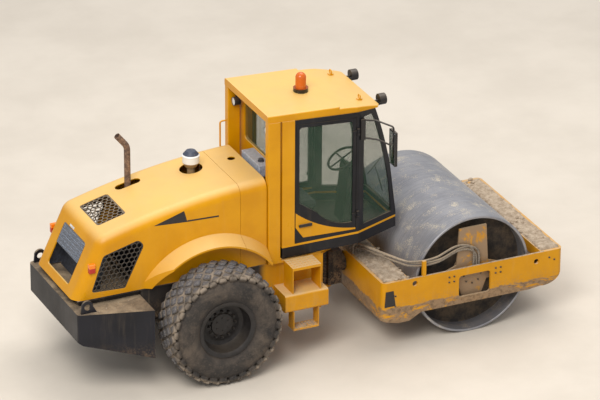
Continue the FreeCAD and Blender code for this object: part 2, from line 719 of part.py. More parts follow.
def hood_grilles():
    """Honeycomb panels of both sides and the top, and the sheet of the tail's upper part."""
    upper = tail_hole().common(box(-FAR, FAR, -FAR, FAR, TAIL_MESH_LOW, OVER_HOOD))
    side = punched(panel(side_hole()), side_hole(MESH_RIM),
                   V(-2560, HOOD_HALF, DECK_TOP + 360), FreeCAD.Rotation(V(1, 0, 0), 90))
    top = punched(panel(top_hole()), top_hole(MESH_RIM),
                  V(TOP_MESH[0], 0, HOOD_TOP_FRONT - 250), FreeCAD.Rotation())
    return Part.makeCompound([side, mirrored(side), top, panel(upper)])


def radiator():
    top = TAIL_HOLE_TOP - 8
    return side_prism([(-2900, DECK_TOP), (-2760, top), (-2600, top), (-2740, DECK_TOP)],
                      -TAIL_HOLE_HALF - 82, TAIL_HOLE_HALF + 82)


def engine():
    """Engine, closed inside the hood: one plain block at its place."""
    return box(-2150, -1200, -390, 390, 990, ENGINE_TOP)


def exhaust_stack():
    """Pipe from the engine through the hood, bent rearwards at its top, with a flange."""
    knee = V(STACK_X, STACK_Y, STACK_TOP - 160)
    end = V(STACK_X - 130, STACK_Y, STACK_TOP)
    beyond = end + (end - knee) * 0.023
    pipe = rod([V(STACK_X, STACK_Y, ENGINE_TOP), knee, end], STACK_R, 140)
    bore = rod([V(STACK_X, STACK_Y, STACK_TOP - 350), knee, beyond], STACK_R - STACK_WALL, 140)
    flange = cyl_z(STACK_R + 18, ENGINE_TOP, ENGINE_TOP + 20, STACK_X, STACK_Y)
    return fused(pipe.cut(bore), flange)


def air_precleaner():
    """Stem and bowl of the intake cleaner, with a wider cap."""
    up = V(0, 0, 1)
    bowl = Part.makeCone(BOWL_R - 34, BOWL_R, 60, V(INTAKE_X, INTAKE_Y, BOWL_Z), up)
    stem = cyl_z(48, ENGINE_TOP, BOWL_Z, INTAKE_X, INTAKE_Y)
    jar = cyl_z(BOWL_R, BOWL_Z + 60, BOWL_Z + 150, INTAKE_X, INTAKE_Y)
    cap = Part.makeCone(BOWL_R + 6, BOWL_R - 44, 60, V(INTAKE_X, INTAKE_Y, BOWL_Z + 150), up)
    return fused(stem, bowl, jar, cap)


def tail_lamps():
    top = HOOD_TOP_FRONT - 664
    lamp = box(LAMP_REAR, LAMP_REAR + 78, HOOD_HALF - 30, HOOD_HALF + 26, top - 112, top)
    lamp = rounded(lamp, 10, lambda c, e: c.y > HOOD_HALF + 20)
    return both_sides(lamp.cut(hood_solid(0)))


# Cab

def roof_line(x, raise_by=0.0):
    """Height of the sloping joint between the cab walls and the roof."""
    return ROOF_BASE - ROOF_SLOPE * x + raise_by


def cab_solid(inset, low):
    """Cab body: side view with a curved windscreen, cut to the chamfered plan."""
    rear = CAB_REAR + inset
    via_x, via_z = SCREEN_BULGE
    body = side_prism([
        (rear, low), (SCREEN_BOTTOM - inset, low),
        ((via_x - inset, via_z), (SCREEN_TOP - inset, roof_line(SCREEN_TOP, -inset))),
        (rear, roof_line(rear, -inset)),
    ], -CAB_HALF, CAB_HALF)
    half = CAB_HALF - inset
    tip = SCREEN_BOTTOM + 188
    tip_half = half - QUARTER_SLOPE * (tip - CHAMFER_X)
    plan = plan_prism([
        (rear, -half), (CHAMFER_X, -half), (tip, -tip_half), (tip, tip_half),
        (CHAMFER_X, half), (rear, half),
    ], low - 10, OVER_ROOF)
    return body.common(plan)


def door_outline(grow):
    """Left door leaf outline in the side view; grow widens it for the door opening."""
    sill = SKIRT_TOP + 40
    return [
        (DOOR_REAR - grow, DOOR_TOP_REAR + grow), (DOOR_FRONT + grow, DOOR_TOP_FRONT + grow),
        (DOOR_FRONT + grow, sill - grow), (DOOR_REAR + 94 - grow / 2, sill + 24 - grow),
        (DOOR_REAR - 8 - grow, sill + 172 - grow / 2),
    ]


def quarter_hole():
    """Left quarter window between the hinge pillar and the windscreen pillar."""
    rear = CHAMFER_X + 80
    top = ROOF_BASE - 115
    via_x, via_z = SCREEN_BULGE
    window = box(rear, FAR, CAB_HALF - 350, CAB_HALF + 150, SILL_Z, top)
    pillar = side_prism([
        (SCREEN_BOTTOM - 32, SILL_Z - 130), (SCREEN_BOTTOM - 84, SILL_Z),
        ((via_x - 66, via_z), (SCREEN_TOP - 36, top)), (SCREEN_TOP - 76, top + 130),
        (FAR, top + 130), (FAR, SILL_Z - 130),
    ], 0, FAR)
    return window.cut(pillar)


def windscreen_hole():
    low_half = CAB_HALF - 250
    high_half = CAB_HALF - 160
    top = ROOF_BASE - 125
    return front_prism([(-low_half, SILL_Z), (low_half, SILL_Z), (high_half, top),
                        (-high_half, top)], SCREEN_TOP - 136, SCREEN_BOTTOM + 188)


def rear_hole():
    half = CAB_HALF - 180
    hole = box(CAB_REAR - 10, CAB_REAR + CAB_WALL + 10, -half, half, ROOF_BASE - 645,
               ROOF_BASE - 110)
    return rounded(hole, 50, lambda c, e: along(e, V(1, 0, 0)))


def cab_shell():
    return cab_solid(0, SKIRT_TOP).cut(cab_solid(CAB_WALL, SKIRT_TOP - 20))


def cab_front():
    """Black pillars and rails round the doors, quarter windows and windscreen."""
    shell = cab_shell().common(box(REAR_PANEL_FRONT, FAR, -FAR, FAR, UNDER_CAB, OVER_ROOF))
    door = side_prism(door_outline(DOOR_GAP), CAB_HALF - CAB_WALL - 10, CAB_HALF + 10)
    quarter = quarter_hole()
    for hole in (door, mirrored(door), quarter, mirrored(quarter), windscreen_hole()):
        shell = shell.cut(hole)
    return fused(shell, *door_hinges())


def cab_rear():
    """Yellow rear wall and side strips, with the rear window cut."""
    shell = cab_shell().common(box(-FAR, REAR_PANEL_FRONT, -FAR, FAR, UNDER_CAB, OVER_ROOF))
    return shell.cut(rear_hole())


def cab_floor():
    """Floor tub with the black skirt that runs round the cab."""
    low = FLOOR_BOTTOM
    outer = cab_solid(0, low).common(box(-FAR, FAR, -FAR, FAR, low, SKIRT_TOP))
    well = cab_solid(CAB_WALL, low + FLOOR_THICK).common(
        box(-FAR, FAR, -FAR, FAR, low + FLOOR_THICK, SKIRT_TOP + 1))
    return outer.cut(well)


def cab_mounts():
    """Rubber mounts between the chassis nose and the cab floor."""
    mounts = []
    for x, y in ((-330.0, 520.0), (430.0, 300.0)):
        mounts.append(cyl_z(45, NOSE_TOP, FLOOR_BOTTOM, x, y))
    return Part.makeCompound(mounts + [mirrored(m) for m in mounts])


def roof_cap():
    """Roof cap: a wide rear plate and a narrower visor, on the sloping roof line."""
    rear = ROOF_REAR
    cap = side_prism([
        (rear, roof_line(rear)), (rear, roof_line(rear, ROOF_THICK)),
        (324, roof_line(324, ROOF_THICK + 12)), (330, roof_line(330, ROOF_THICK - 14)),
        ((640, roof_line(640, ROOF_THICK - 28)), (VISOR_X, roof_line(VISOR_X, 18))),
        (VISOR_X, roof_line(VISOR_X)),
    ], -CAB_HALF, CAB_HALF)
    half = CAB_HALF - 10
    plan = plan_prism([
        (rear, -half), (HINGE_X, -half), (VISOR_X - 40, 65 - half), (VISOR_X, 120 - half),
        (VISOR_X, half - 120), (VISOR_X - 40, half - 65), (HINGE_X, half), (rear, half),
    ], UNDER_CAB, OVER_ROOF)
    cap = cap.common(plan)
    return rounded(cap, 25, lambda c, e: c.z > roof_line(c.x, 50) and abs(c.y) > half - 80)


def roof():
    """Roof cap with a lifting eye at each side of the visor."""
    cap = roof_cap()
    x = VISOR_X - 210
    for y in (240 - CAB_HALF, CAB_HALF - 240):
        foot = box(x - 30, x + 30, y - 22, y + 22, roof_line(x, 20), roof_line(x, 75))
        ring = Part.makeTorus(26, 8, V(x, y, roof_line(x, 100)), V(1, 0, 0))
        cap = fused(cap, foot, ring)
    return cap


def rops_posts():
    """Roll-over posts from the chassis to the roof on foot plates, the left with a grab rail."""
    out = CAB_HALF
    post = side_prism([
        (POST_REAR, NOSE_TOP + POST_FOOT), (POST_FRONT, NOSE_TOP + POST_FOOT),
        (POST_FRONT, roof_line(POST_FRONT)), (POST_REAR, roof_line(POST_REAR)),
    ], out - POST_WIDTH, out)
    post = rounded(post, 12, lambda c, e: along(e, V(0, 0, 1)))
    foot = box(POST_REAR - 2, POST_FRONT + 10, out - POST_WIDTH - 30, out, NOSE_TOP,
               NOSE_TOP + POST_FOOT)
    x = POST_REAR + 8
    y = out - 14
    low = ROOF_BASE - 795
    high = ROOF_BASE - 445
    rail = rod([V(x, y, low), V(x - 78, y, low), V(x - 78, y, high), V(x, y, high)], 11, 30)
    post = fused(post, foot)
    return Part.makeCompound([fused(post, rail), mirrored(post)])


def glass_sheet(outline):
    """Sheet of glass that follows the cab wall inside an outline."""
    outer = cab_solid(GLASS_INSET, SKIRT_TOP - 20)
    return outer.cut(cab_solid(GLASS_INSET + GLASS, SKIRT_TOP - 30)).common(outline)


def cab_glass():
    """Windscreen, quarter windows and rear window."""
    quarter = glass_sheet(quarter_hole())
    return Part.makeCompound([glass_sheet(windscreen_hole()), glass_sheet(rear_hole()),
                              quarter, mirrored(quarter)])


def pane_prism(y0, y1):
    """Prism of the door pane, between slim uprights and above the curved lower rail."""
    rear = DOOR_REAR + DOOR_RAIL - 2
    front = DOOR_FRONT - DOOR_RAIL - 2
    pane = side_prism([
        (rear, DOOR_TOP_REAR - DOOR_RAIL), (front, DOOR_TOP_FRONT - DOOR_RAIL),
        (front, PANE_FRONT_LOW), ((220, 1660), (27, 1820)), (rear, PANE_REAR_LOW),
    ], y0, y1)
    return rounded(pane, 35, lambda c, e: along(e, V(0, 1, 0)) and c.x < front - 50
                   and c.z > PANE_REAR_LOW - 50)


def door_glass():
    return pane_prism(CAB_HALF - 22, CAB_HALF - 22 + GLASS)


def door_frame():
    """Left door leaf: black frame round the pane, with its hinge knuckles."""
    leaf = side_prism(door_outline(0), CAB_HALF - DOOR_THICK, CAB_HALF)
    leaf = leaf.cut(pane_prism(CAB_HALF - DOOR_THICK - 1, CAB_HALF + 1)).cut(door_panel_prism())
    parts = [leaf]
    for z in HINGE_HEIGHTS:
        low, high = z - KNUCKLE_HALF, z + KNUCKLE_HALF
        strap = box(HINGE_X - 70, HINGE_X, CAB_HALF, CAB_HALF + 10, low, high)
        parts.append(fused(strap, cyl_z(KNUCKLE_R, low, high, HINGE_X, HINGE_Y)))
    leaf = fused(*parts)
    for z in HINGE_HEIGHTS:
        leaf = leaf.cut(cyl_z(HINGE_PIN_R + RUNNING_GAP, z - KNUCKLE_HALF - 1,
                              z + KNUCKLE_HALF + 1, HINGE_X, HINGE_Y))
    return leaf


def door_panel_prism():
    """Space of the yellow lower door panel, below the curved rail."""
    return side_prism([
        (-300, 1900), ((-20, 1700), (HINGE_X, 1520)), (HINGE_X, 1450), (-300, 1450),
    ], CAB_HALF - DOOR_THICK - 1, CAB_HALF + 1)


def door_panel():
    leaf = side_prism(door_outline(0), CAB_HALF - DOOR_THICK, CAB_HALF)
    panel_part = leaf.common(door_panel_prism())
    handle = rounded(box(-220, -50, CAB_HALF, CAB_HALF + 22, 1672, 1706), 8,
                     lambda c, e: c.y > CAB_HALF + 18)
    return fused(panel_part, handle)


def door_hinges():
    """Hinge brackets and pins on the pillars, two to a door."""
    brackets = []
    near = KNUCKLE_HALF + LUG_GAP
    far = near + LUG_HEIGHT
    for z in HINGE_HEIGHTS:
        parts = [cyl_z(HINGE_PIN_R, z - far, z + far, HINGE_X, HINGE_Y)]
        for low, high in ((z - far, z - near), (z + near, z + far)):
            lug = cyl_z(KNUCKLE_R, low, high, HINGE_X, HINGE_Y)
            arm = box(HINGE_X, HINGE_X + 18, CAB_HALF, HINGE_Y + KNUCKLE_R, low, high)
            parts.append(fused(lug, arm))
        brackets.append(fused(*parts))
    return brackets + [mirrored(b) for b in brackets]


# Cab inside and outside fittings

def backrest_x(z):
    """Front face of the seat's back plate."""
    return -200 - SEAT_LEAN * (z - SEAT_TOP)


def seat_base():
    """Pedestal, seat pan and back plate."""
    low = SEAT_TOP - SEAT_PLATE
    pan = box(-230, 190, -210, 210, low, SEAT_TOP)
    pedestal = box(-120, 120, -150, 150, FLOOR_BOTTOM + FLOOR_THICK, low)
    foot = backrest_x(SEAT_TOP)
    head = backrest_x(BACK_TOP)
    back = side_prism([(foot, SEAT_TOP), (foot - SEAT_PLATE, SEAT_TOP),
                       (head - SEAT_PLATE, BACK_TOP), (head, BACK_TOP)], -190, 190)
    return fused(pan, pedestal, back)


def seat_cushions():
    """Seat cushion and back cushion."""
    low = SEAT_TOP + RUNNING_GAP
    seat = box(-150, 240, -240, 240, low, low + CUSHION)
    seat = rounded(seat, 35, lambda c, e: c.z > low + 10)
    foot = low + CUSHION + 1
    head = BACK_TOP + 80
    back = side_prism([
        (backrest_x(foot) + RUNNING_GAP, foot), (backrest_x(foot) + 130, foot),
        (backrest_x(head) + 100, head), (backrest_x(head) + RUNNING_GAP, head),
    ], -230, 230)
    return Part.makeCompound([seat, back])


def console():
    """Steering pedestal with the wheel on its column."""
    floor = FLOOR_BOTTOM + FLOOR_THICK
    foot = side_prism([(WHEEL_X - 45, floor), (WHEEL_X + 195, floor),
                       (WHEEL_X + 135, WHEEL_Z - 111), (WHEEL_X + 35, WHEEL_Z - 71)], -130, 130)
    centre = V(WHEEL_X, 0, WHEEL_Z)
    turn = FreeCAD.Rotation(V(0, 1, 0), -WHEEL_TILT)
    axis = turn.multVec(V(0, 0, 1))
    column = Part.makeCylinder(22, 140, centre - axis * 140, axis)
    wheel = Part.makeTorus(WHEEL_R, 15, centre, axis)
    spokes = [box(-WHEEL_R, WHEEL_R, -9, 9, -6, 6), box(-9, 9, -WHEEL_R, WHEEL_R, -6, 6)]
    for spoke in spokes:
        spoke.Placement = FreeCAD.Placement(centre, turn)
    return fused(foot, column, wheel, *spokes)


def beacon():
    """Rotating light: black base and a dome on the roof."""
    x, y = 80.0, -40.0
    seat = roof_line(x, ROOF_THICK - 10)
    base = cyl_z(BEACON_R + 26, seat, seat + 70, x, y)
    dome = cyl_z(BEACON_R, seat + 70, seat + 200, x, y)
    dome = fused(base, dome, Part.makeSphere(BEACON_R, V(x, y, seat + 200)))
    return dome.cut(roof_cap())


def work_lamps():
    """Round lamps: two on stalks at the visor, two that hang below the roof behind the cab."""
    lamps = []
    for sign in (-1, 1):
        y = (CAB_HALF - 250) * sign
        top = roof_line(VISOR_X)
        head = cyl_x(LAMP_R, VISOR_X + 50, VISOR_X + 130, y, top + 20)
        arm = box(VISOR_X, VISOR_X + 60, y - 12, y + 12, top + 2, top + 16)
        lamps.append(fused(head, arm))
        y = (CAB_HALF - POST_WIDTH - REAR_LAMP_R - 15) * sign
        x = CAB_REAR - 110
        centre = roof_line(x, -165)
        head = cyl_x(REAR_LAMP_R, x - 25, x + 45, y, centre)
        hanger = box(x, x + 20, y - 12, y + 12, centre, centre + 200).cut(roof_cap())
        lamps.append(fused(head, hanger))
    return Part.makeCompound(lamps)


def mirrors():
    """Mirror heads on two thin arms from each hinge pillar."""
    out = CAB_HALF - 22
    top = ROOF_BASE - 135
    x = HINGE_X + 360
    y = CAB_HALF + 250
    upper = rod([V(HINGE_X + 80, out, top - 20), V(HINGE_X + 200, out + 112, top),
                 V(x, y, top - 50), V(x, y, top - 120)], 11, 60)
    lower = rod([V(HINGE_X + 80, out, top - 250), V(HINGE_X + 220, out + 132, top - 250),
                 V(x - 14, y - 50, top - 310)], 11, 60)
    head = box(x - 15, x + 15, y - 90, y + 80, top - 550, top - 100)
    head = rounded(head, 12, lambda c, e: along(e, V(1, 0, 0)))
    foot = box(HINGE_X + 40, HINGE_X + 100, CAB_HALF - 60, CAB_HALF + 12, top - 270, top)
    cab = cab_solid(0, SKIRT_TOP)
    return both_sides(fused(foot.cut(cab), upper.cut(cab), lower.cut(cab), head))


def heater_box():
    return rounded(box(POST_REAR + 20, CAB_REAR, -330, 200, 2270, 2425), 12,
                   lambda c, e: c.x < CAB_REAR - 5)


def tanks():
    """Side boxes ahead of the wheels that carry the steps."""
    tank = box(TANK_REAR, TANK_FRONT, CHASSIS_HALF, TANK_OUT, TANK_BOTTOM, TANK_TOP)
    tank = rounded(tank, 30, lambda c, e: c.y > TANK_OUT - 5 and along(e, V(1, 0, 0)))
    return both_sides(tank)


def access_steps():
    """Upper tread on side cheeks above the tank, and a hanging lower tread on straps."""
    top = NOSE_TOP
    cheeks = []
    for x in (STEP_REAR, STEP_FRONT - STEP_PLATE):
        cheeks.append(side_prism([(x, TANK_TOP), (x + STEP_PLATE, TANK_TOP),
                                  (x + STEP_PLATE, top), (x, top)], CAB_HALF + 4, STEP_OUT))
    tread = box(STEP_REAR, STEP_FRONT, CAB_HALF + 4, STEP_OUT, top - 35, top)
    tread = tread.cut(box(STEP_REAR + STEP_PLATE, STEP_FRONT - STEP_PLATE, CAB_HALF + 14,
                          STEP_OUT - STEP_PLATE, top - 36, top - 8))
    upper = fused(tread, *cheeks)
    straps = []
    for x in (STEP_REAR, STEP_FRONT - 40 - STEP_PLATE):
        straps.append(box(x, x + STEP_PLATE, TANK_OUT - 150, TANK_OUT, STEP_LOW, TANK_BOTTOM))
    lower = fused(box(STEP_REAR, STEP_FRONT - 40, TANK_OUT - 160, TANK_OUT, STEP_LOW,
                      STEP_LOW + 25), *straps)
    return Part.makeCompound([upper, lower, mirrored(upper), mirrored(lower)])


HOOD_SHELL = hood_shell()
NODES = {
    "drum": drum,
    "drum_frame": drum_frame,
    "drum_carriers": lambda: both_sides(drum_carrier()),
    "drum_buffers": drum_buffers,
    "scrapers": scrapers,
    "drum_hoses": drum_hoses,
    "hitch": hitch,
    "chassis": chassis,
    "counterweight": counterweight,
    "rear_axle": rear_axle,
    "tyre_left": tyre,
    "tyre_right": lambda: mirrored(tyre()),
    "rim_left": rim,
    "rim_right": lambda: mirrored(rim()),
    "hood": hood,
    "hood_cowl": hood_cowl,
    "hood_grilles": hood_grilles,
    "radiator": radiator,
    "engine": engine,
    "exhaust_stack": exhaust_stack,
    "air_precleaner": air_precleaner,
    "tail_lamps": tail_lamps,
    "cab_floor": cab_floor,
    "cab_mounts": cab_mounts,
    "cab_front": cab_front,
    "cab_rear": cab_rear,
    "cab_glass": cab_glass,
    "roof": roof,
    "rops_posts": rops_posts,
    "door_frame_left": door_frame,
    "door_frame_right": lambda: mirrored(door_frame()),
    "door_panel_left": door_panel,
    "door_panel_right": lambda: mirrored(door_panel()),
    "door_glass_left": door_glass,
    "door_glass_right": lambda: mirrored(door_glass()),
    "seat_base": seat_base,
    "seat_cushions": seat_cushions,
    "console": console,
    "beacon": beacon,
    "work_lamps": work_lamps,
    "mirrors": mirrors,
    "heater_box": heater_box,
    "tanks": tanks,
    "access_steps": access_steps,
}

os.makedirs("parts", exist_ok=True)
for name, make in NODES.items():
    shape = make()
    shape.exportStep("parts/" + name + ".step")
    print(name, len(shape.Solids), shape.isValid(), round(shape.Volume / 1e6, 2))
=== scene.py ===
"""Dresses the road roller: paint, dirt and rust, tyre treads, cushions, dried mud and fittings.

Metres. +X points forwards to the drum, +Y to the left, +Z up, and the ground is Z = 0.
"""
import json
import math
import random

import bmesh
import bpy
from mathutils import Matrix, Vector, noise
from mathutils.bvhtree import BVHTree


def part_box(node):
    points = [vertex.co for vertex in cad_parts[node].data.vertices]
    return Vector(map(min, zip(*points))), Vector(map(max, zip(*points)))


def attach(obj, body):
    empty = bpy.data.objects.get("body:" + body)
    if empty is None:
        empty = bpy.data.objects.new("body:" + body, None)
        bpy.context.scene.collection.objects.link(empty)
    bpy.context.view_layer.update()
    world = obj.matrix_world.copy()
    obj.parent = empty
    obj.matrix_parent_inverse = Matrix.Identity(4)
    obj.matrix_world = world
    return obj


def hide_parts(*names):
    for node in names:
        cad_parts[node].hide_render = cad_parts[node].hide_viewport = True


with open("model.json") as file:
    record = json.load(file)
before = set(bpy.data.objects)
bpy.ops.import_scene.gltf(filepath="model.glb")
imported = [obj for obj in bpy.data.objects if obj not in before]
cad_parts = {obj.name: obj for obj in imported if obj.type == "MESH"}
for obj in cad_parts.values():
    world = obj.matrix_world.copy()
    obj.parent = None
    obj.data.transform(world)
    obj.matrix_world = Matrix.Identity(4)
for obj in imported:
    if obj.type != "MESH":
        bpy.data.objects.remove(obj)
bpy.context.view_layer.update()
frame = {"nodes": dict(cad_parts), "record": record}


class NodeBox:
    """Box of a node of the frame, to the millimetre."""

    def __init__(self, node):
        low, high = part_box(node)
        self.low = [round(value, 3) for value in low]
        self.high = [round(value, 3) for value in high]
        self.half = [round(value, 3) for value in (high - low) / 2]
        self.centre = Vector([round(value, 3) for value in (low + high) / 2])


# Sizes and places from the frame
TYRE_BOX = NodeBox("tyre_left")
TYRE_R = TYRE_BOX.half[2]
TYRE_OUT = TYRE_BOX.high[1]
TYRE_WIDTH = 2 * TYRE_BOX.half[1]
AXLE = Vector((TYRE_BOX.centre.x, 0.0, TYRE_R))
RIM_LIP_R = NodeBox("rim_left").half[2]
DRUM_BOX = NodeBox("drum")
DRUM = DRUM_BOX.centre
DRUM_R = DRUM_BOX.half[2]
DRUM_HALF = DRUM_BOX.half[1]
FRAME_BOX = NodeBox("drum_frame")
FRAME_HALF = FRAME_BOX.half[1]
FRAME_REAR = FRAME_BOX.low[0]
FRAME_FRONT = FRAME_BOX.high[0]
INTAKE = NodeBox("air_precleaner").centre
LAMP_BOX = NodeBox("work_lamps")
HEATER_TOP = NodeBox("heater_box").high[2]
STEP_TOP = NodeBox("access_steps").high[2]
HOOD_BOX = NodeBox("hood")
TAIL_FOOT = Vector((HOOD_BOX.low[0], 0, HOOD_BOX.low[2]))

# Sizes within the nodes
RIM_R = 0.335
RIM_WALL = 0.025
RIM_DISH = 0.230
BEAD_INSET = 0.045
FLANGE = 0.016
DRUM_WALL = 0.032
DRUM_RECESS = 0.230
HUB_R = 0.0903
FRAME_TOP = 0.930
FRAME_WALL = 0.030
REAR_BEAM = 0.370
FRONT_BEAM = 0.303
WEIGHT_TOP = 1.152
POST_FOOT_TOP = 1.300
LOW_STEP_TOP = 0.465
TAIL_HEAD = Vector((-2.800, 0, 2.000))

# How far an added piece goes into the face that carries it
SUNK = 0.0005
UP = Vector((0, 0, 1))
SEED = 7

# Camera, fitted to the photograph
CAMERA_PLACE = Vector((-18.954, -41.073, 23.259))
CAMERA_YAW = 24.883
CAMERA_PITCH = -25.467
CAMERA_ROLL = 0.277
CAMERA_LENS = 245.1
CAMERA_SENSOR = 36.0

# Pale sky and warm sun
SKY = (0.93, 0.96, 1.0, 1.0)
SKY_STRENGTH = 0.55
SUN = (1.0, 0.97, 0.93)


# Colours

def srgb(red, green, blue):
    """Linear colour of an 8-bit display colour."""
    def linear(value):
        value /= 255.0
        return value / 12.92 if value <= 0.04045 else ((value + 0.055) / 1.055) ** 2.4
    return (linear(red), linear(green), linear(blue), 1.0)


YELLOW = srgb(214, 150, 2)
YELLOW_DEEP = srgb(202, 138, 1)
# Colour of the painted highlight on faces that look up
SUNLIT = srgb(255, 236, 172)
BLACK = srgb(24, 25, 31)
BLACK_DEEP = srgb(17, 17, 21)
DUST = srgb(196, 172, 140)
MUD = srgb(150, 124, 96)
MUD_DARK = srgb(104, 86, 68)


# Finishes

class Shader:
    """A new material with short calls for the nodes that most finishes share."""

    def __init__(self):
        self.material = bpy.data.materials.new("finish")
        self.material.use_nodes = True
        self.tree = self.material.node_tree
        self.bsdf = self.tree.nodes["Principled BSDF"]
        self.coords = self.tree.nodes.new("ShaderNodeTexCoord")

    def node(self, kind, inputs=None, **settings):
        made = self.tree.nodes.new("ShaderNode" + kind)
        for key, value in settings.items():
            setattr(made, key, value)
        for key, value in (inputs or {}).items():
            self.feed(made.inputs[key], value)
        return made

    def feed(self, socket, value):
        if isinstance(value, bpy.types.NodeSocket):
            self.tree.links.new(value, socket)
        else:
            socket.default_value = value

    def noise(self, scale, detail=6.0, rough=0.6, stretch=None, distortion=0.0):
        """Noise from 0 to 1 on the object's own coordinates."""
        place = self.coords.outputs["Object"]
        if stretch:
            place = self.node("Mapping", {"Vector": place, "Scale": stretch}).outputs[0]
        made = self.node("TexNoise", {"Vector": place, "Scale": scale, "Detail": detail,
                                      "Roughness": rough, "Distortion": distortion})
        return made.outputs["Fac"]

    def ramp(self, value, low, high, to_low=0.0, to_high=1.0):
        """Smooth step of a value from low to high."""
        made = self.node("MapRange", {"Value": value, "From Min": low, "From Max": high,
                                      "To Min": to_low, "To Max": to_high},
                         interpolation_type="SMOOTHSTEP")
        return made.outputs["Result"]

    def math(self, operation, first, second=0.0, clamp=False):
        return self.node("Math", {0: first, 1: second}, operation=operation,
                         use_clamp=clamp).outputs[0]

    def product(self, first, second, clamp=False):
        return self.math("MULTIPLY", first, second, clamp)

    def mix(self, factor, first, second):
        """Colour between two colours."""
        return self.node("Mix", {0: factor, 6: first, 7: second}, data_type="RGBA").outputs[2]

    def blend(self, factor, first, second):
        """Number between two numbers."""
        return self.node("Mix", {0: factor, 2: first, 3: second}, data_type="FLOAT").outputs[0]

    def part(self, source, axis):
        """One component of the object's own coordinates or of its normal."""
        return self.node("SeparateXYZ", {0: self.coords.outputs[source]}).outputs[axis]

    def place(self, axis):
        return self.part("Object", axis)

    def facing_up(self):
        return self.part("Normal", 2)

    def radius(self, centre, across):
        """Distance from an axis line through a point; across is 0 along the axis, 1 elsewhere."""
        offset = self.node("VectorMath", {0: self.coords.outputs["Object"], 1: centre},
                           operation="SUBTRACT")
        flat = self.node("VectorMath", {0: offset.outputs[0], 1: across}, operation="MULTIPLY")
        return self.node("VectorMath", {0: flat.outputs[0]}, operation="LENGTH").outputs["Value"]

    def bump(self, height, strength, distance=0.002):
        made = self.node("Bump", {"Height": height, "Strength": strength, "Distance": distance})
        self.feed(self.bsdf.inputs["Normal"], made.outputs["Normal"])

    def finish(self, colour, rough, metallic=0.0):
        self.feed(self.bsdf.inputs["Base Color"], colour)
        self.feed(self.bsdf.inputs["Roughness"], rough)
        self.feed(self.bsdf.inputs["Metallic"], metallic)
        return self.material


def painted(colour, deep, rough, top, splash, splash_top, grain=0.15, streaks=0.12, tint=None,
            sheen=None):
    """Paint with dust on what faces up, mud splashed from below and rain streaks, and with a
    painted highlight on what faces up when a sheen is given.

    tint(shader, colour) may change the paint below the dirt; sheen is the colour of the painted
    highlight on faces that look up.
    """
    s = Shader()
    s.bsdf.inputs["Specular IOR Level"].default_value = 0.3
    cloud = s.noise(1.7, 5.0, 0.6)
    base = s.mix(s.ramp(cloud, 0.35, 0.7), colour, deep)
    # Painted highlight: faces that look up go up to a third of the way over to the sheen colour
    if sheen:
        base = s.mix(s.ramp(s.facing_up(), 0.4, 1.0, 0.0, 0.33), base, sheen)
    if tint:
        base = tint(s, base)
    streak = s.noise(6.0, 4.0, 0.6, stretch=(2.2, 2.2, 0.22))
    base = s.mix(s.ramp(streak, 0.52, 0.78, 0.0, streaks), base, DUST)
    fine = s.noise(42.0, 8.0, 0.7)
    up = s.ramp(s.facing_up(), 0.25, 0.95)
    patchy = s.ramp(s.noise(3.2, 8.0, 0.68, distortion=0.4), 0.32, 0.68, 0.25, 1.0)
    on_top = s.product(s.product(up, patchy), top, clamp=True)
    base = s.mix(on_top, base, DUST)
    low = s.ramp(s.place(2), splash_top, splash_top * 0.35)
    spots = s.ramp(s.product(s.noise(9.0, 10.0, 0.72, distortion=0.6), fine), 0.20, 0.34)
    splashed = s.product(s.product(low, spots), splash, clamp=True)
    base = s.mix(splashed, base, MUD)
    dirt = s.math("ADD", on_top, splashed, clamp=True)
    roughness = s.blend(dirt, s.ramp(cloud, 0.2, 0.8, rough * 0.85, rough * 1.25), 0.92)
    s.bump(s.math("ADD", s.product(dirt, fine), s.product(fine, 0.3)), grain)
    return s.finish(base, roughness)


def behind_cab(s, base):
    """Chassis paint that goes over to dark grey behind the front of the wheels: black paint there,
    with painted shade.
    """
    return s.mix(s.ramp(s.place(0), -0.62, -0.74), base, srgb(46, 42, 40))


def skirt_band(s, base):
    """Yellow band along the top of the black cab skirt."""
    return s.mix(s.ramp(s.place(2), 1.431, 1.433), base, YELLOW)


def caked_mud(s, base):
    """Mud that leaves the paint bare only in places."""
    return s.mix(s.ramp(s.noise(3.6, 9.0, 0.7, distortion=0.5), 0.55, 0.63, 1.0, 0.2), base, MUD)


def muddy_edge(s, base):
    """Mud along the lower edge of the drum frame, with chips of bare paint."""
    ragged = s.product(s.noise(7.0, 9.0, 0.72, stretch=(0.5, 1.0, 1.4)), 0.16)
    worn = s.ramp(s.math("ADD", s.place(2), ragged), 0.665, 0.645)
    chips = s.ramp(s.noise(4.5, 9.0, 0.7, stretch=(0.6, 1.0, 1.6), distortion=0.5), 0.60, 0.54)
    tone = s.mix(s.ramp(s.noise(20.0, 8.0, 0.7), 0.4, 0.65), MUD, MUD_DARK)
    return s.mix(s.product(s.product(worn, chips), 0.95), base, tone)


def plain(colour, deep, rough, scale=30.0, dusty=0.3):
    """Moulded or cast material: two tones, a film of dust and a fine grain."""
    s = Shader()
    grain = s.noise(scale, 7.0, 0.65)
    base = s.mix(s.ramp(grain, 0.35, 0.65), colour, deep)
    up = s.ramp(s.facing_up(), 0.1, 1.0, 0.15, 1.0)
    film = s.product(s.product(up, s.noise(5.0, 8.0, 0.7)), dusty * 2, clamp=True)
    s.bump(grain, 0.3)
    return s.finish(s.mix(film, base, DUST), s.blend(film, rough, 0.9))


def two_tone(height, below, above, rough):
    """Moulding whose colours part at a height."""
    s = Shader()
    grain = s.noise(26.0, 5.0, 0.6)
    base = s.mix(s.ramp(s.place(2), height - 0.001, height + 0.001), below, above)
    base = s.mix(s.ramp(grain, 0.55, 0.8, 0.0, 0.25), base, DUST)
    s.bump(grain, 0.15)
    return s.finish(base, s.ramp(grain, 0.2, 0.8, rough * 0.8, rough * 1.4))


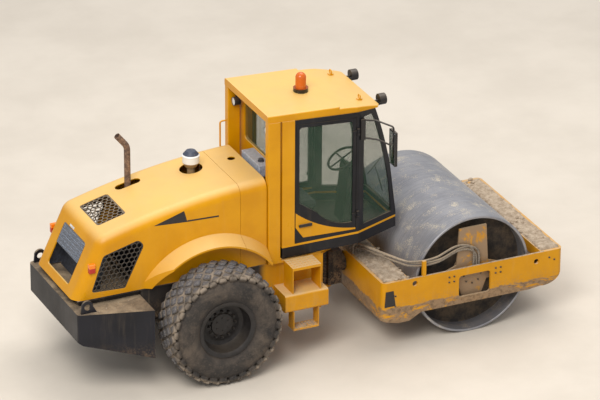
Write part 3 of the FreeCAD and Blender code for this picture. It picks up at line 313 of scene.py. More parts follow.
def drum_steel():
    """Bare rolled steel, polished by the ground, with mud specks, and mud with painted shade in
    its recesses.
    """
    s = Shader()
    rings = s.noise(5.0, 6.0, 0.6, stretch=(0.6, 16.0, 0.6))
    cloud = s.noise(2.2, 7.0, 0.65)
    base = s.mix(s.ramp(cloud, 0.3, 0.75), srgb(156, 155, 158), srgb(132, 132, 138))
    base = s.mix(s.ramp(rings, 0.45, 0.75, 0.0, 0.4), base, srgb(96, 94, 98))
    specks = s.ramp(s.product(s.noise(110.0, 3.0, 0.55), s.noise(5.0, 8.0, 0.7)), 0.325, 0.345)
    base = s.mix(specks, base, srgb(210, 198, 176))
    patch = s.ramp(s.noise(1.3, 9.0, 0.7), 0.56, 0.72, 0.0, 0.25)
    base = s.mix(patch, base, srgb(140, 126, 110))
    # Inside the recesses the steel goes over to mud, and to near-black painted shade where the
    # noise is low
    inner = DRUM_R - DRUM_WALL
    recess = s.ramp(s.radius(DRUM, (1.0, 0.0, 1.0)), inner + 0.004, inner - 0.004)
    mud_and_shade = s.ramp(s.noise(5.0, 9.0, 0.72), 0.35, 0.7)
    base = s.mix(recess, base, s.mix(mud_and_shade, srgb(58, 54, 52), srgb(112, 96, 78)))
    dirt = s.math("MAXIMUM", s.math("MAXIMUM", specks, patch), recess)
    height = s.math("ADD", s.product(mud_and_shade, recess), s.product(rings, 0.3))
    s.bump(s.math("ADD", specks, height), 0.35)
    return s.finish(base, s.blend(dirt, s.ramp(rings, 0.3, 0.7, 0.34, 0.5), 0.9), 0.3)


def tyre_rubber():
    """Rubber with dust, and dried mud packed between the blocks."""
    s = Shader()
    radius = s.radius(AXLE, (1.0, 0.0, 1.0))
    fine = s.noise(38.0, 8.0, 0.7)
    base = s.mix(s.ramp(s.noise(4.0, 8.0, 0.7), 0.3, 0.7), srgb(60, 55, 51), srgb(40, 38, 37))
    base = s.mix(s.ramp(fine, 0.5, 0.8, 0.0, 0.6), base, srgb(112, 100, 88))
    dusty = s.ramp(s.noise(2.6, 8.0, 0.7, distortion=0.4), 0.42, 0.66, 0.0, 0.5)
    base = s.mix(dusty, base, srgb(118, 104, 90))
    worn = s.ramp(radius, TYRE_R - 0.034, TYRE_R - 0.002, 0.0, 0.7)
    base = s.mix(worn, base, s.mix(s.ramp(fine, 0.4, 0.7), srgb(96, 95, 100), srgb(146, 140, 134)))
    groove = s.ramp(radius, TYRE_R - 0.016, TYRE_R - 0.024)
    outside = s.ramp(radius, 0.66, 0.70)
    packed = s.product(s.product(groove, outside),
                       s.ramp(s.noise(5.0, 6.0, 0.65), 0.35, 0.62, 0.15, 0.9))
    base = s.mix(packed, base, srgb(146, 132, 116))
    base = s.mix(s.ramp(radius, 0.47, 0.38, 0.0, 0.5), base, srgb(50, 46, 44))
    s.bump(s.math("ADD", fine, s.product(packed, 1.5)), 0.5, 0.004)
    return s.finish(base, 0.9)


def glass():
    """Green-tinted safety glass with a film of dust."""
    s = Shader()
    film = s.ramp(s.noise(3.0, 6.0, 0.65), 0.4, 0.85, 0.0, 0.16)
    tint = s.mix(film, srgb(54, 86, 66), srgb(190, 182, 164))
    s.feed(s.bsdf.inputs["Alpha"], s.blend(film, 0.27, 0.8))
    s.bsdf.inputs["Specular IOR Level"].default_value = 0.6
    return s.finish(tint, s.blend(film, 0.04, 0.4))


def intake():
    """Air cleaner: muddy stem, white bowl and a dark cap inside a white ring."""
    s = Shader()
    grain = s.noise(26.0, 5.0, 0.6)
    base = s.mix(s.ramp(s.place(2), 2.400, 2.404), srgb(158, 128, 88), srgb(230, 230, 228))
    within = s.ramp(s.radius(INTAKE, (1.0, 1.0, 0.0)), 0.098, 0.096)
    cap = s.product(within, s.ramp(s.place(2), 2.496, 2.500))
    base = s.mix(cap, base, srgb(62, 68, 84))
    base = s.mix(s.ramp(grain, 0.55, 0.8, 0.0, 0.3), base, DUST)
    s.bump(grain, 0.15)
    return s.finish(base, 0.5)


def mirror_glass():
    s = Shader()
    film = s.ramp(s.noise(8.0, 5.0, 0.6), 0.4, 0.8, 0.0, 0.4)
    return s.finish(s.mix(film, srgb(200, 205, 210), DUST), s.blend(film, 0.05, 0.5), 1.0)


def lens(colour, deep):
    """Moulded lamp lens with fine ribs."""
    s = Shader()
    ribs = s.node("TexWave", {"Vector": s.coords.outputs["Object"], "Scale": 60.0})
    s.bsdf.inputs["Coat Weight"].default_value = 0.6
    s.bump(ribs.outputs["Fac"], 0.25)
    return s.finish(s.mix(s.ramp(s.noise(14.0), 0.3, 0.8), colour, deep), 0.25)


def rusty():
    s = Shader()
    patch = s.noise(14.0, 9.0, 0.7)
    base = s.mix(s.ramp(patch, 0.35, 0.65), srgb(134, 104, 82), srgb(78, 62, 54))
    base = s.mix(s.ramp(s.noise(30.0), 0.5, 0.7, 0.0, 0.5), base, srgb(176, 146, 116))
    s.bump(patch, 0.6, 0.003)
    return s.finish(base, 0.85)


def soil():
    """Dried mud and gravel."""
    s = Shader()
    big = s.noise(16.0, 9.0, 0.75)
    fine = s.noise(120.0, 6.0, 0.7)
    base = s.mix(s.ramp(big, 0.35, 0.65), srgb(190, 172, 150), srgb(146, 126, 104))
    base = s.mix(s.ramp(fine, 0.5, 0.75, 0.0, 0.6), base, srgb(206, 192, 172))
    s.bump(s.math("ADD", big, fine), 0.9, 0.006)
    return s.finish(base, 0.95)


def cloth():
    """Woven seat cloth."""
    s = Shader()
    weave = s.node("TexWave", {"Vector": s.coords.outputs["Object"], "Scale": 160.0,
                               "Distortion": 1.5})
    base = s.mix(weave.outputs["Fac"], srgb(44, 45, 50), srgb(66, 67, 74))
    base = s.mix(s.ramp(s.noise(6.0), 0.45, 0.8, 0.0, 0.4), base, srgb(120, 110, 96))
    s.bsdf.inputs["Sheen Weight"].default_value = 0.3
    s.bump(weave.outputs["Fac"], 0.4)
    return s.finish(base, 0.9)


def ground():
    """Pale dry ground that the machine stands on."""
    s = Shader()
    tone = s.ramp(s.noise(0.6, 6.0, 0.6), 0.3, 0.7)
    s.bump(s.noise(30.0, 5.0, 0.6), 0.05)
    return s.finish(s.mix(tone, srgb(222, 212, 198), srgb(212, 202, 188)), 0.95)


# Paints give colour, deep colour, roughness, dust on top, splashed mud and how high it goes
FINISHES = {
    "yellow_frame": painted(YELLOW, YELLOW_DEEP, 0.42, 0.6, 0.8, 1.0, sheen=SUNLIT),
    "yellow_paint": painted(YELLOW, YELLOW_DEEP, 0.30, 0.14, 0.1, 1.9, streaks=0.05, sheen=SUNLIT),
    "side_plate": painted(YELLOW, YELLOW_DEEP, 0.38, 0.95, 0.9, 0.8, tint=muddy_edge),
    # the chassis goes dark grey behind the front of the wheels: black paint with painted shade
    "chassis_black_and_shade": painted(YELLOW, YELLOW_DEEP, 0.45, 0.6, 0.9, 1.2, tint=behind_cab),
    "carrier_mud": painted(YELLOW, YELLOW_DEEP, 0.5, 0.6, 0.9, 1.6, grain=0.5, tint=caked_mud),
    "black_paint": painted(BLACK, BLACK_DEEP, 0.36, 0.3, 0.15, 1.6, streaks=0.03),
    "cab_skirt": painted(BLACK, BLACK_DEEP, 0.36, 0.3, 0.2, 1.5, streaks=0.03, tint=skirt_band),
    "black_steel": painted(srgb(46, 44, 44), srgb(30, 29, 29), 0.5, 0.6, 0.7, 1.2),
    "dark_cast": painted(srgb(26, 27, 35), srgb(18, 19, 25), 0.42, 0.7, 0.8, 0.78, grain=0.25,
                         streaks=0.04),
    "rubber_black": plain(srgb(40, 40, 40), srgb(28, 28, 28), 0.8),
    "hose_rubber": plain(srgb(136, 126, 114), srgb(88, 82, 76), 0.85, 60.0, 0.5),
    "dark_rim": plain(srgb(32, 30, 32), srgb(17, 16, 18), 0.55, 12.0, 0.06),
    "black_mesh": plain(srgb(32, 32, 35), srgb(20, 20, 22), 0.5),
    "radiator_metal": plain(srgb(150, 164, 184), srgb(118, 132, 152), 0.4, dusty=0.15),
    "radiator_core": plain(srgb(58, 64, 76), srgb(36, 40, 48), 0.7, dusty=0.1),
    "black_plastic": plain(srgb(22, 23, 28), srgb(14, 14, 18), 0.4, dusty=0.12),
    "grey_plastic": plain(srgb(168, 178, 192), srgb(132, 142, 158), 0.45),
    "lamp_lens": two_tone(1.655, srgb(176, 34, 18), srgb(240, 128, 20), 0.2),
    "amber_plastic": two_tone(3.2306, srgb(26, 24, 24), srgb(204, 98, 22), 0.16),
    "clear_lens": lens(srgb(226, 228, 226), srgb(180, 184, 186)),
    "drum_steel": drum_steel(),
    "tyre_rubber": tyre_rubber(),
    "rusty_pipe": rusty(),
    "white_plastic": intake(),
    "green_glass": glass(),
    "mirror_glass": mirror_glass(),
    "seat_fabric": cloth(),
    "soil": soil(),
    "floor": ground(),
}
for finish_name, material in FINISHES.items():
    material.name = finish_name + "_finish"

NODE_FINISHES = {
    "drum_frame": "side_plate", "drum_carriers": "carrier_mud", "chassis": "chassis_black_and_shade",
    "cab_floor": "cab_skirt", "radiator": "radiator_core",
}


def dress_nodes():
    """Give every carried-over node the finish of its material slot, or its own variant."""
    for entry in frame["record"]["subparts"]:
        node = frame["nodes"][entry["node"]]
        finish = NODE_FINISHES.get(entry["node"], entry["material_slot"])
        for holder in node.material_slots:
            holder.link = "OBJECT"
            holder.material = FINISHES[finish]


# Mesh helpers

def side_name(side):
    return "left" if side > 0 else "right"


def between(first, second, share):
    """Point part of the way from one to another."""
    return [a + (b - a) * share for a, b in zip(first, second)]


def piece(name, shape, body, finish, smooth=40):
    """Object for a bmesh, with its finish, body and material slot."""
    bmesh.ops.recalc_face_normals(shape, faces=shape.faces)
    mesh = bpy.data.meshes.new(name)
    shape.to_mesh(mesh)
    shape.free()
    mesh.materials.append(FINISHES[finish])
    mesh.polygons.foreach_set("use_smooth", [True] * len(mesh.polygons))
    mesh.set_sharp_from_angle(angle=math.radians(smooth))
    return carried(bpy.data.objects.new(name, mesh), body)


def carried(made, body):
    """Link an object into the scene and tie it to its body."""
    bpy.context.scene.collection.objects.link(made)
    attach(made, body)
    return made


def turned(profile, centre, segments, side=1, axis="Y"):
    """Closed profile turned about an axis line through the centre.

    The profile is (place along the axis, radius), about Y from the world's own zero.
    """
    shape = bmesh.new()
    rings = []
    for index in range(segments):
        angle = 2 * math.pi * index / segments
        ring = []
        for along, r in profile:
            u, v = r * math.cos(angle), r * math.sin(angle)
            if axis == "Y":
                place = (centre.x + u, side * along, centre.z + v)
            else:
                place = (centre.x + side * along, centre.y + u, centre.z + v)
            ring.append(shape.verts.new(place))
        rings.append(ring)
    count = len(profile)
    for index in range(segments):
        here, there = rings[index], rings[(index + 1) % segments]
        for step in range(count):
            ahead = (step + 1) % count
            shape.faces.new((here[step], here[ahead], there[ahead], there[step]))
    return shape


def add_box(shape, size, matrix, bevel=0.0):
    """Box of a size at a matrix, with its edges cut back by the bevel."""
    verts = bmesh.ops.create_cube(shape, size=1.0)["verts"]
    bmesh.ops.scale(shape, verts=verts, vec=size)
    if bevel:
        edges = list(dict.fromkeys(e for v in verts for e in v.link_edges))
        cut = bmesh.ops.bevel(shape, geom=edges, offset=bevel, segments=2, affect="EDGES",
                              profile=0.5)
        kept = [v for v in verts if v.is_valid]
        verts = list(dict.fromkeys(kept + [v for f in cut["faces"] for v in f.verts]))
    bmesh.ops.transform(shape, verts=verts, matrix=matrix)


def add_head(shape, place, axis, radius, height, sides=6):
    """Bolt head, nut, stud or cap that stands on a face and narrows a little."""
    turn = UP.rotation_difference(Vector(axis)).to_matrix().to_4x4()
    middle = Vector(place) + Vector(axis) * height / 2
    bmesh.ops.create_cone(shape, cap_ends=True, segments=sides, radius1=radius,
                          radius2=radius * 0.92, depth=height,
                          matrix=Matrix.Translation(middle) @ turn)


def bolts(name, body, places, axis, radius, height):
    """Bolt heads at places on a face, as one piece."""
    shape = bmesh.new()
    for place in places:
        add_head(shape, place, axis, radius, height)
    piece(name, shape, body, "black_steel")


def circle(centre, y, radius, count, start=0.0):
    """Places spread evenly on a circle about the Y axis line through the centre."""
    angles = [2 * math.pi * (index + start) / count for index in range(count)]
    return [(centre.x + radius * math.cos(angle), y, centre.z + radius * math.sin(angle))
            for angle in angles]


def bar(name, points, radius, body, finish):
    """Round bar along a smooth curve that the points lead."""
    curve = bpy.data.curves.new(name, "CURVE")
    curve.dimensions = "3D"
    curve.bevel_depth = radius
    curve.bevel_resolution = 4
    curve.use_fill_caps = True
    spline = curve.splines.new("NURBS")
    spline.points.add(len(points) - 1)
    for target, point in zip(spline.points, points):
        target.co = (*point, 1.0)
    spline.order_u = 3
    spline.use_endpoint_u = True
    spline.resolution_u = 8
    curve.materials.append(FINISHES[finish])
    carried(bpy.data.objects.new(name, curve), body)


def slab(name, body, finish, centre, size, bevel, turn=Matrix()):
    """Small bevelled plate or block."""
    shape = bmesh.new()
    add_box(shape, size, Matrix.Translation(Vector(centre)) @ turn, bevel)
    piece(name, shape, body, finish)


def prism(name, body, finish, outline, low, high):
    """Plate with an outline in X and Z, between two places along Y."""
    shape = bmesh.new()
    near, far = ([shape.verts.new((x, y, z)) for x, z in outline] for y in (low, high))
    shape.faces.new(near)
    shape.faces.new(far[::-1])
    count = len(outline)
    for index in range(count):
        ahead = (index + 1) % count
        shape.faces.new((near[index], near[ahead], far[ahead], far[index]))
    piece(name, shape, body, finish)


def surface(node):
    """Search tree of a node's mesh, to lay pieces on it."""
    return BVHTree.FromObject(frame["nodes"][node], bpy.context.evaluated_depsgraph_get())


def draped(name, body, finish, node, rows, toward):
    """Thin sheet laid on a node: each point of its rows goes along a direction to the surface."""
    sheet = 0.0015
    tree = surface(node)
    shape = bmesh.new()
    skins = []
    for lift in (-SUNK, sheet):
        skin = []
        for row in rows:
            line = []
            for point in row:
                place, normal = tree.ray_cast(Vector(point), Vector(toward))[:2]
                if normal.dot(Vector(toward)) > 0:
                    normal = -normal
                line.append(shape.verts.new(place + normal * lift))
            skin.append(line)
        skins.append(skin)
    low, high = skins
    count, width = len(rows) - 1, len(rows[0]) - 1
    for i in range(count):
        for j in range(width):
            for skin in skins:
                shape.faces.new((skin[i][j], skin[i + 1][j], skin[i + 1][j + 1], skin[i][j + 1]))
    for i in range(count):
        for j in (0, width):
            shape.faces.new((low[i][j], low[i + 1][j], high[i + 1][j], high[i][j]))
    for j in range(width):
        for i in (0, count):
            shape.faces.new((low[i][j], low[i][j + 1], high[i][j + 1], high[i][j]))
    piece(name, shape, body, finish)


# Wheels

TYRE_MIDDLE = TYRE_OUT - TYRE_WIDTH / 2
CARCASS_STEPS = 32
BELLY_R = 0.50
TREAD_DEPTH = 0.020
TREAD_ROWS = 5
TREAD_COUNT = 32
TREAD_SPAN = 0.400
BLOCK = 0.086
BLOCK_ROOT = 0.024
BLOCK_BEVEL = 0.015
LUG = (0.100, 0.060, 0.064)
LUG_BEVEL = 0.018
LUG_R = 0.668
LUG_PLACE = 0.226
LUG_LEAN = 34


def tyre_carcass(side):
    """Carcass with bulging walls and beads, in place of the plain tyre."""
    name = side_name(side)
    half = TYRE_WIDTH / 2
    crown = TYRE_R - TREAD_DEPTH
    outline = []
    for step in range(CARCASS_STEPS + 1):
        angle = math.pi * step / CARCASS_STEPS
        narrower = 1 - 0.06 * math.sin(angle) ** 6
        outline.append((TYRE_MIDDLE - half * math.cos(angle) * narrower,
                        BELLY_R + (crown - BELLY_R) * math.sin(angle) ** 0.62))
    bead = RIM_LIP_R + 0.012
    lower = [(TYRE_OUT - 0.006, 0.46), (TYRE_OUT - 0.020, 0.42), (TYRE_OUT - 0.040, bead + 0.016),
             (TYRE_OUT - BEAD_INSET, bead), (TYRE_OUT - BEAD_INSET, RIM_R)]
    upper = [(2 * TYRE_MIDDLE - y, r) for y, r in reversed(lower)]
    carcass = piece("tyre_carcass_" + name, turned(outline + lower + upper, AXLE, 160, side),
                    "wheel_" + name, "tyre_rubber")
    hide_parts("tyre_" + name)


def on_tyre(angle, y, radius):
    """Matrix of a place on the tyre, its Z pointing away from the axle."""
    return (Matrix.Translation((AXLE.x, y, AXLE.z)) @ Matrix.Rotation(-angle, 4, "Y")
            @ Matrix.Translation((0, 0, radius)))


def tyre_blocks(side):
    """Staggered diamond blocks, lower towards the shoulders, with a lug on each shoulder."""
    name = side_name(side)
    generator = random.Random(SEED)
    shape = bmesh.new()
    middle_row = (TREAD_ROWS - 1) / 2
    size = (BLOCK, BLOCK, TREAD_DEPTH + BLOCK_ROOT)
    for index in range(TREAD_COUNT):
        for row in range(TREAD_ROWS):
            angle = 2 * math.pi * (index + 0.5 * (row % 2)) / TREAD_COUNT
            y = (TYRE_MIDDLE - TREAD_SPAN / 2 + TREAD_SPAN / (TREAD_ROWS - 1) * row) * side
            edge = abs(row - middle_row) / middle_row
            top = TYRE_R - 0.016 * edge ** 3 - 0.003 * generator.random()
            lean = 0.16 * edge ** 2 * (1 if row > middle_row else -1) * side
            add_box(shape, size, on_tyre(angle, y, top - size[2] / 2)
                    @ Matrix.Rotation(-lean, 4, "X")
                    @ Matrix.Rotation(math.radians(45 + generator.uniform(-4, 4)), 4, "Z"),
                    BLOCK_BEVEL)
        for edge in (-1, 1):
            angle = 2 * math.pi * (index + 0.5) / TREAD_COUNT
            y = (TYRE_MIDDLE + edge * LUG_PLACE) * side
            add_box(shape, LUG, on_tyre(angle, y, LUG_R)
                    @ Matrix.Rotation(math.radians(-LUG_LEAN * edge * side), 4, "X"), LUG_BEVEL)
    piece("tyre_blocks_" + name, shape, "wheel_" + name, "tyre_rubber", smooth=50)


def rim(side):
    """Dished wheel with bead flanges and hub, in place of the plain rim, and its nuts."""
    name = side_name(side)
    out = TYRE_OUT - BEAD_INSET
    inner = TYRE_OUT - TYRE_WIDTH + BEAD_INSET
    face = TYRE_OUT - RIM_DISH
    barrel = RIM_R - RIM_WALL
    profile = [
        (out, RIM_R), (out, RIM_LIP_R), (out + 0.010, RIM_LIP_R + 0.003),
        (out + FLANGE, RIM_LIP_R), (out + 0.014, RIM_R), (out - 0.004, barrel),
        (out - 0.060, barrel - 0.004), (face + 0.050, barrel - 0.012),
        (face + 0.012, barrel - 0.030), (face, barrel - 0.070), (face, 0.215),
        (face + 0.010, 0.195), (face + 0.012, 0.150), (face + 0.034, 0.140),
        (face + 0.040, 0.110), (face + 0.040, 0.001), (face - 0.100, 0.001),
        (face - 0.140, 0.075), (face - 0.140, 0.128), (face - 0.028, 0.150),
        (face - 0.028, barrel - 0.030), (inner, barrel), (inner - FLANGE, barrel),
        (inner - FLANGE, RIM_LIP_R), (inner, RIM_LIP_R), (inner, RIM_R),
    ]
    wheel = piece("rim_dish_" + name, turned(profile, AXLE, 128, side), "wheel_" + name,
                  "dark_rim", smooth=35)
    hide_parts("rim_" + name)
    shape = bmesh.new()
    axis = (0, side, 0)
    for x, y, z in circle(AXLE, side * (face + 0.011), 0.172, 12):
        add_head(shape, (x, y, z), axis, 0.020, 0.030)
        add_head(shape, (x, y + side * 0.028, z), axis, 0.010, 0.016, 10)
    for place in circle(AXLE, side * (face + 0.040), 0.085, 6, start=0.5):
        add_head(shape, place, axis, 0.011, 0.010)
    piece("wheel_nuts_" + name, shape, "wheel_" + name, "dark_rim")


# Drum

def drum():
    """Smooth shell with chamfered rims and a ring on each disc, in place of the faceted one."""
    inner = DRUM_R - DRUM_WALL
    disc = DRUM_HALF - DRUM_RECESS
    half = [
        (disc - DRUM_WALL, HUB_R), (disc, HUB_R), (disc, 0.40), (disc + 0.004, 0.41),
        (disc + 0.004, 0.43), (disc, 0.44), (disc, inner - 0.012), (disc + 0.012, inner),
        (DRUM_HALF - 0.006, inner), (DRUM_HALF, inner + 0.006), (DRUM_HALF, DRUM_R - 0.008),
        (DRUM_HALF - 0.008, DRUM_R),
    ]
    profile = half + [(-y, r) for y, r in reversed(half)]
    shell = piece("drum_shell", turned(profile, DRUM, 288), "drum", "drum_steel", smooth=30)
    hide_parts("drum")


# Hood

STRIPE_TIP = (-2.110, 2.050)
STRIPE_HIGH = (-1.712, 2.168)
STRIPE_LOW = (-1.674, 2.022)
STRIPE_END = (-1.262, 2.008)
STRIPE_LINE = 0.020


def hood_stripe(side):
    """Tapered dark wedge with a thin line behind it, on the side of the hood."""
    outside = side * 0.9
    length, width, line_length = 24, 16, 16
    wedge = []
    for step in range(length + 1):
        share = max(step / length, 0.02)
        low = between(STRIPE_TIP, STRIPE_LOW, share)
        high = between(STRIPE_TIP, STRIPE_HIGH, share)
        points = [between(low, high, index / width) for index in range(width + 1)]
        wedge.append([(x, outside, z) for x, z in points])
    line = []
    for step in range(line_length + 1):
        x, z = between(STRIPE_LOW, STRIPE_END, step / line_length)
        line.append([(x, outside, z + STRIPE_LINE * index / 2) for index in range(3)])
    for name, rows in (("hood_wedge_", wedge), ("hood_line_", line)):
        draped(name + side_name(side), "rear_frame", "black_plastic", "hood", rows, (0, -side, 0))


def tail_screen():
    """Bars over the tail opening, with a blank plate above them."""
    slope = (TAIL_HEAD - TAIL_FOOT).normalized()
    out = Vector((-slope.z, 0, slope.x))
    turn = Matrix.Rotation(math.atan2(slope.x, slope.z), 4, "Y")
    low, high, half = 1.604, 1.844, 0.330
    uprights, rails = 25, 5
    bar_depth, bar_width = 0.003, 0.007

    def on_tail(z, lift):
        return TAIL_FOOT + slope * (z - TAIL_FOOT.z) / slope.z + out * lift

    shape = bmesh.new()
    for index in range(uprights):
        y = -half + 2 * half * (index + 0.5) / uprights
        place = on_tail((low + high) / 2, -0.002) + Vector((0, y, 0))
        add_box(shape, (bar_depth, bar_width, (high - low) / slope.z),
                Matrix.Translation(place) @ turn)
    for index in range(rails):
        z = low + (high - low) * (index + 0.5) / rails
        add_box(shape, (bar_depth, 2 * half, bar_depth),
                Matrix.Translation(on_tail(z, -0.004)) @ turn)
    piece("tail_screen", shape, "rear_frame", "radiator_metal")
    slab("tail_plate", "rear_frame", "clear_lens", on_tail(1.868, 0.001) + Vector((0, 0.12, 0)),
         (0.003, 0.130, 0.026), 0.0008, turn)


def radiator_ducts():
    """Walls beside the radiator that lead from the tail opening to it."""
    outline = [(-3.100, 1.270), (-2.840, 1.840), (-2.604, 1.840), (-2.742, 1.270)]
    for side in (1, -1):
        prism("radiator_duct_" + side_name(side), "rear_frame", "radiator_core", outline,
              side * 0.4205, side * 0.4265)


# Dried mud

# Scale, shift of the seed and weight of each layer of noise
SOIL_NOISE = ((2.3, 0, 0.8), (17, 3, 0.35), (61, 7, 0.14))
SOIL_EDGE = 3


def soil_layer(name, body, x_range, y_range, floor, depth, seed, cover=0.0, step=0.014):
    """Dried mud on a flat plate: a noisy closed sheet that runs out to a ragged edge."""
    columns = int((x_range[1] - x_range[0]) / step) + 1
    rows = int((y_range[1] - y_range[0]) / step) + 1
    points = {}
    for i in range(columns + 1):
        for j in range(rows + 1):
            x = x_range[0] + (x_range[1] - x_range[0]) * i / columns
            y = y_range[0] + (y_range[1] - y_range[0]) * j / rows
            level = 0.5 + cover
            for scale, shift, weight in SOIL_NOISE:
                level += weight * noise.noise(Vector((x * scale, y * scale, seed + shift)))
            edge = min(i, j, columns - i, rows - j) / SOIL_EDGE
            points[i, j] = (x, y, depth * (level * min(edge, 1)))
    cells = []
    touching = {}
    for i in range(columns):
        for j in range(rows):
            corners = ((i, j), (i + 1, j), (i + 1, j + 1), (i, j + 1))
            if all(points[corner][2] > 0 for corner in corners):
                cells.append(corners)
                for corner in corners:
                    touching[corner] = touching.get(corner, 0) + 1
    shape = bmesh.new()
    low, high = {}, {}
    for corner, count in touching.items():
        x, y, z = points[corner]
        low[corner] = shape.verts.new((x, y, floor + 0.0004))
        inside = count == 4
        high[corner] = shape.verts.new((x, y, floor + 0.001 + z)) if inside else low[corner]
    for corners in cells:
        if any(high[corner] is not low[corner] for corner in corners):
            shape.faces.new([high[corner] for corner in corners])
            shape.faces.new([low[corner] for corner in reversed(corners)])
    loose = [v for v in shape.verts if not v.link_faces]
    bmesh.ops.delete(shape, geom=loose, context="VERTS")
    piece(name, shape, body, "soil", smooth=60)


def clods(name, body, areas, count, seed, largest):
    """Lumps of dried mud scattered over flat areas; each area is (x0, x1, y0, y1, z)."""
    shape = bmesh.new()
    generator = random.Random(seed)
    for _ in range(count):
        x0, x1, y0, y1, z = generator.choice(areas)
        size = largest * (0.3 + 0.7 * generator.random() ** 2)
        place = Vector((generator.uniform(x0, x1), generator.uniform(y0, y1), z + size * 0.35))
        for vert in bmesh.ops.create_icosphere(shape, subdivisions=2, radius=size)["verts"]:
            bend = noise.noise(vert.co * 90 + Vector((place.x, place.y, seed)) * 31)
            vert.co *= 1 + 0.45 * bend
            vert.co.z = max(vert.co.z * 0.7, -size * 0.33)
            vert.co += place
    piece(name, shape, body, "soil", smooth=60)


def add_soil():
    """Mud on the beams, the side plates, the counterweight and the lower steps."""
    inner = FRAME_HALF - FRAME_WALL
    rear = FRAME_REAR + REAR_BEAM
    front = FRAME_FRONT - FRONT_BEAM
    soil_layer("soil_rear_beam", "drum_frame", (FRAME_REAR + 0.02, rear), (-inner, inner),
               FRAME_TOP, depth=0.034, seed=1.0, cover=0.15)
    soil_layer("soil_front_beam", "drum_frame", (front, FRAME_FRONT - 0.02), (-inner, inner),
               FRAME_TOP, depth=0.036, seed=5.0, cover=0.15)
    for side, low in ((-1, -FRAME_HALF + 0.001), (1, inner + 0.001)):
        soil_layer("soil_plate_" + side_name(side), "drum_frame", (rear - 0.05, front + 0.05),
                   (low, low + FRAME_WALL - 0.002), FRAME_TOP, depth=0.008, seed=9.0 + low,
                   cover=0.1, step=0.004)
    front_area = (front + 0.01, FRAME_FRONT - 0.04, -inner, inner, FRAME_TOP + 0.008)
    clods("soil_clods_frame", "drum_frame", [
        (FRAME_REAR + 0.04, rear, -inner, -0.35, FRAME_TOP + 0.006),
        (FRAME_REAR + 0.04, rear, -inner, inner, FRAME_TOP + 0.004),
        front_area, front_area,
    ], count=460, seed=11, largest=0.026)
    clods("soil_clods_weight", "rear_frame", [
        (-3.06, -2.32, -0.80, -0.66, WEIGHT_TOP), (-3.06, -2.32, 0.66, 0.80, WEIGHT_TOP),
    ], count=40, seed=12, largest=0.010)
    for side in (-1, 1):
        soil_layer("soil_step_" + side_name(side), "rear_frame", (-0.41, -0.09),
                   sorted((side * 0.795, side * 0.945)), LOW_STEP_TOP, depth=0.007,
                   seed=20.0 + side, step=0.010)


# Bolts, lamps and small fittings

def add_bolts():
    """Bolt heads that show on the drum frame, the carriers and the posts' foot plates."""
    buffer_place, pattern = 0.32, 0.034
    corners = ((-1, -1), (1, -1), (1, 1), (-1, 1))
    plate_bolts = ((0.86, 0.74), (0.86, 0.60), (2.98, 0.84), (3.05, 0.80))
    for side in (-1, 1):
        name = side_name(side)
        y = side * FRAME_HALF
        places = [(x + pattern * dx, y, DRUM.z + 0.03 + pattern * dz)
                  for x in (DRUM.x - buffer_place, DRUM.x + buffer_place) for dx, dz in corners]
        places += [(x, y, z) for x, z in plate_bolts]
        bolts("frame_bolts_" + name, "drum_frame", places, (0, side, 0), 0.013, 0.010)
        places = [(x, side * 0.535, POST_FOOT_TOP) for x in (-0.605, -0.475)]
        bolts("post_bolts_" + name, "rear_frame", places, (0, 0, 1), 0.012, 0.010)
        bolts("carrier_bolts_" + name, "drum_frame", circle(DRUM, side * 1.060, 0.115, 8),
              (0, side, 0), 0.013, 0.012)


def add_lamps():
    """Lens and bezel of each work lamp."""
    front, rear = LAMP_BOX.high[0], LAMP_BOX.low[0]
    for name, x, y, z, radius, side in (
        ("front_right", front, -0.400, 3.0555, 0.070, 1),
        ("front_left", front, 0.400, 3.0555, 0.070, 1),
        ("rear_right", rear, -0.480, 2.9503, 0.055, -1),
        ("rear_left", rear, 0.480, 2.9503, 0.055, -1),
    ):
        centre = Vector((x, y, z))
        bezel = [(SUNK, radius * 0.84), (SUNK, radius), (0.006, radius * 0.99),
                 (0.010, radius * 0.95), (0.010, radius * 0.88)]
        dome = [(SUNK, 0.0001), (SUNK, radius * 0.86), (0.005, radius * 0.86),
                (0.009, radius * 0.55), (0.010, 0.0001)]
        for part, profile, finish in (("lamp_bezel_", bezel, "black_plastic"),
                                      ("lamp_lens_", dome, "clear_lens")):
            piece(part + name, turned(profile, centre, 64, side, "X"), "rear_frame", finish)


def add_studs(shape, side, rows, columns, inner, pitch, height, radius):
    """Rows of round studs on a step, from an inner place outwards."""
    first, gap = -0.385, 0.045
    for row in range(rows):
        for column in range(columns):
            place = (first + gap * column, side * (inner + pitch * row), height)
            add_head(shape, place, UP, radius, 0.004, 12)


def add_side_fittings():
    """Door handle, mirror glass, blank plate and step studs of each side."""
    for side in (-1, 1):
        name = side_name(side)
        slab("door_grip_" + name, "door_" + name, "black_plastic",
             (-0.135, side * 0.6620, 1.689), (0.174, 0.025, 0.038), 0.008)
        slab("mirror_pane_" + name, "rear_frame", "mirror_glass",
             (0.9040, side * 0.895, 2.625), (0.003, 0.150, 0.420), 0.001)
        prism("frame_plate_" + name, "drum_frame", "black_plastic", [
            (0.715, 0.605), (0.865, 0.605), (0.835, 0.815), (0.730, 0.815),
        ], side * (FRAME_HALF - 0.001), side * (FRAME_HALF + 0.002))
        shape = bmesh.new()
        add_studs(shape, side, 3, 7, 0.822, 0.047, LOW_STEP_TOP, 0.013)
        add_studs(shape, side, 4, 8, 0.700, 0.055, STEP_TOP, 0.014)
        piece("step_grip_" + name, shape, "rear_frame", "yellow_frame")


def add_tank_cap():
    """Cap with a narrower knob on the box behind the cab."""
    shape = bmesh.new()
    low = HEATER_TOP - SUNK
    for height, radius, rise in ((low, 0.040, 0.010), (low + 0.0095, 0.033, 0.024)):
        add_head(shape, (-0.520, -0.200, height), UP, radius, rise, 32)
    piece("tank_cap", shape, "rear_frame", "radiator_core")


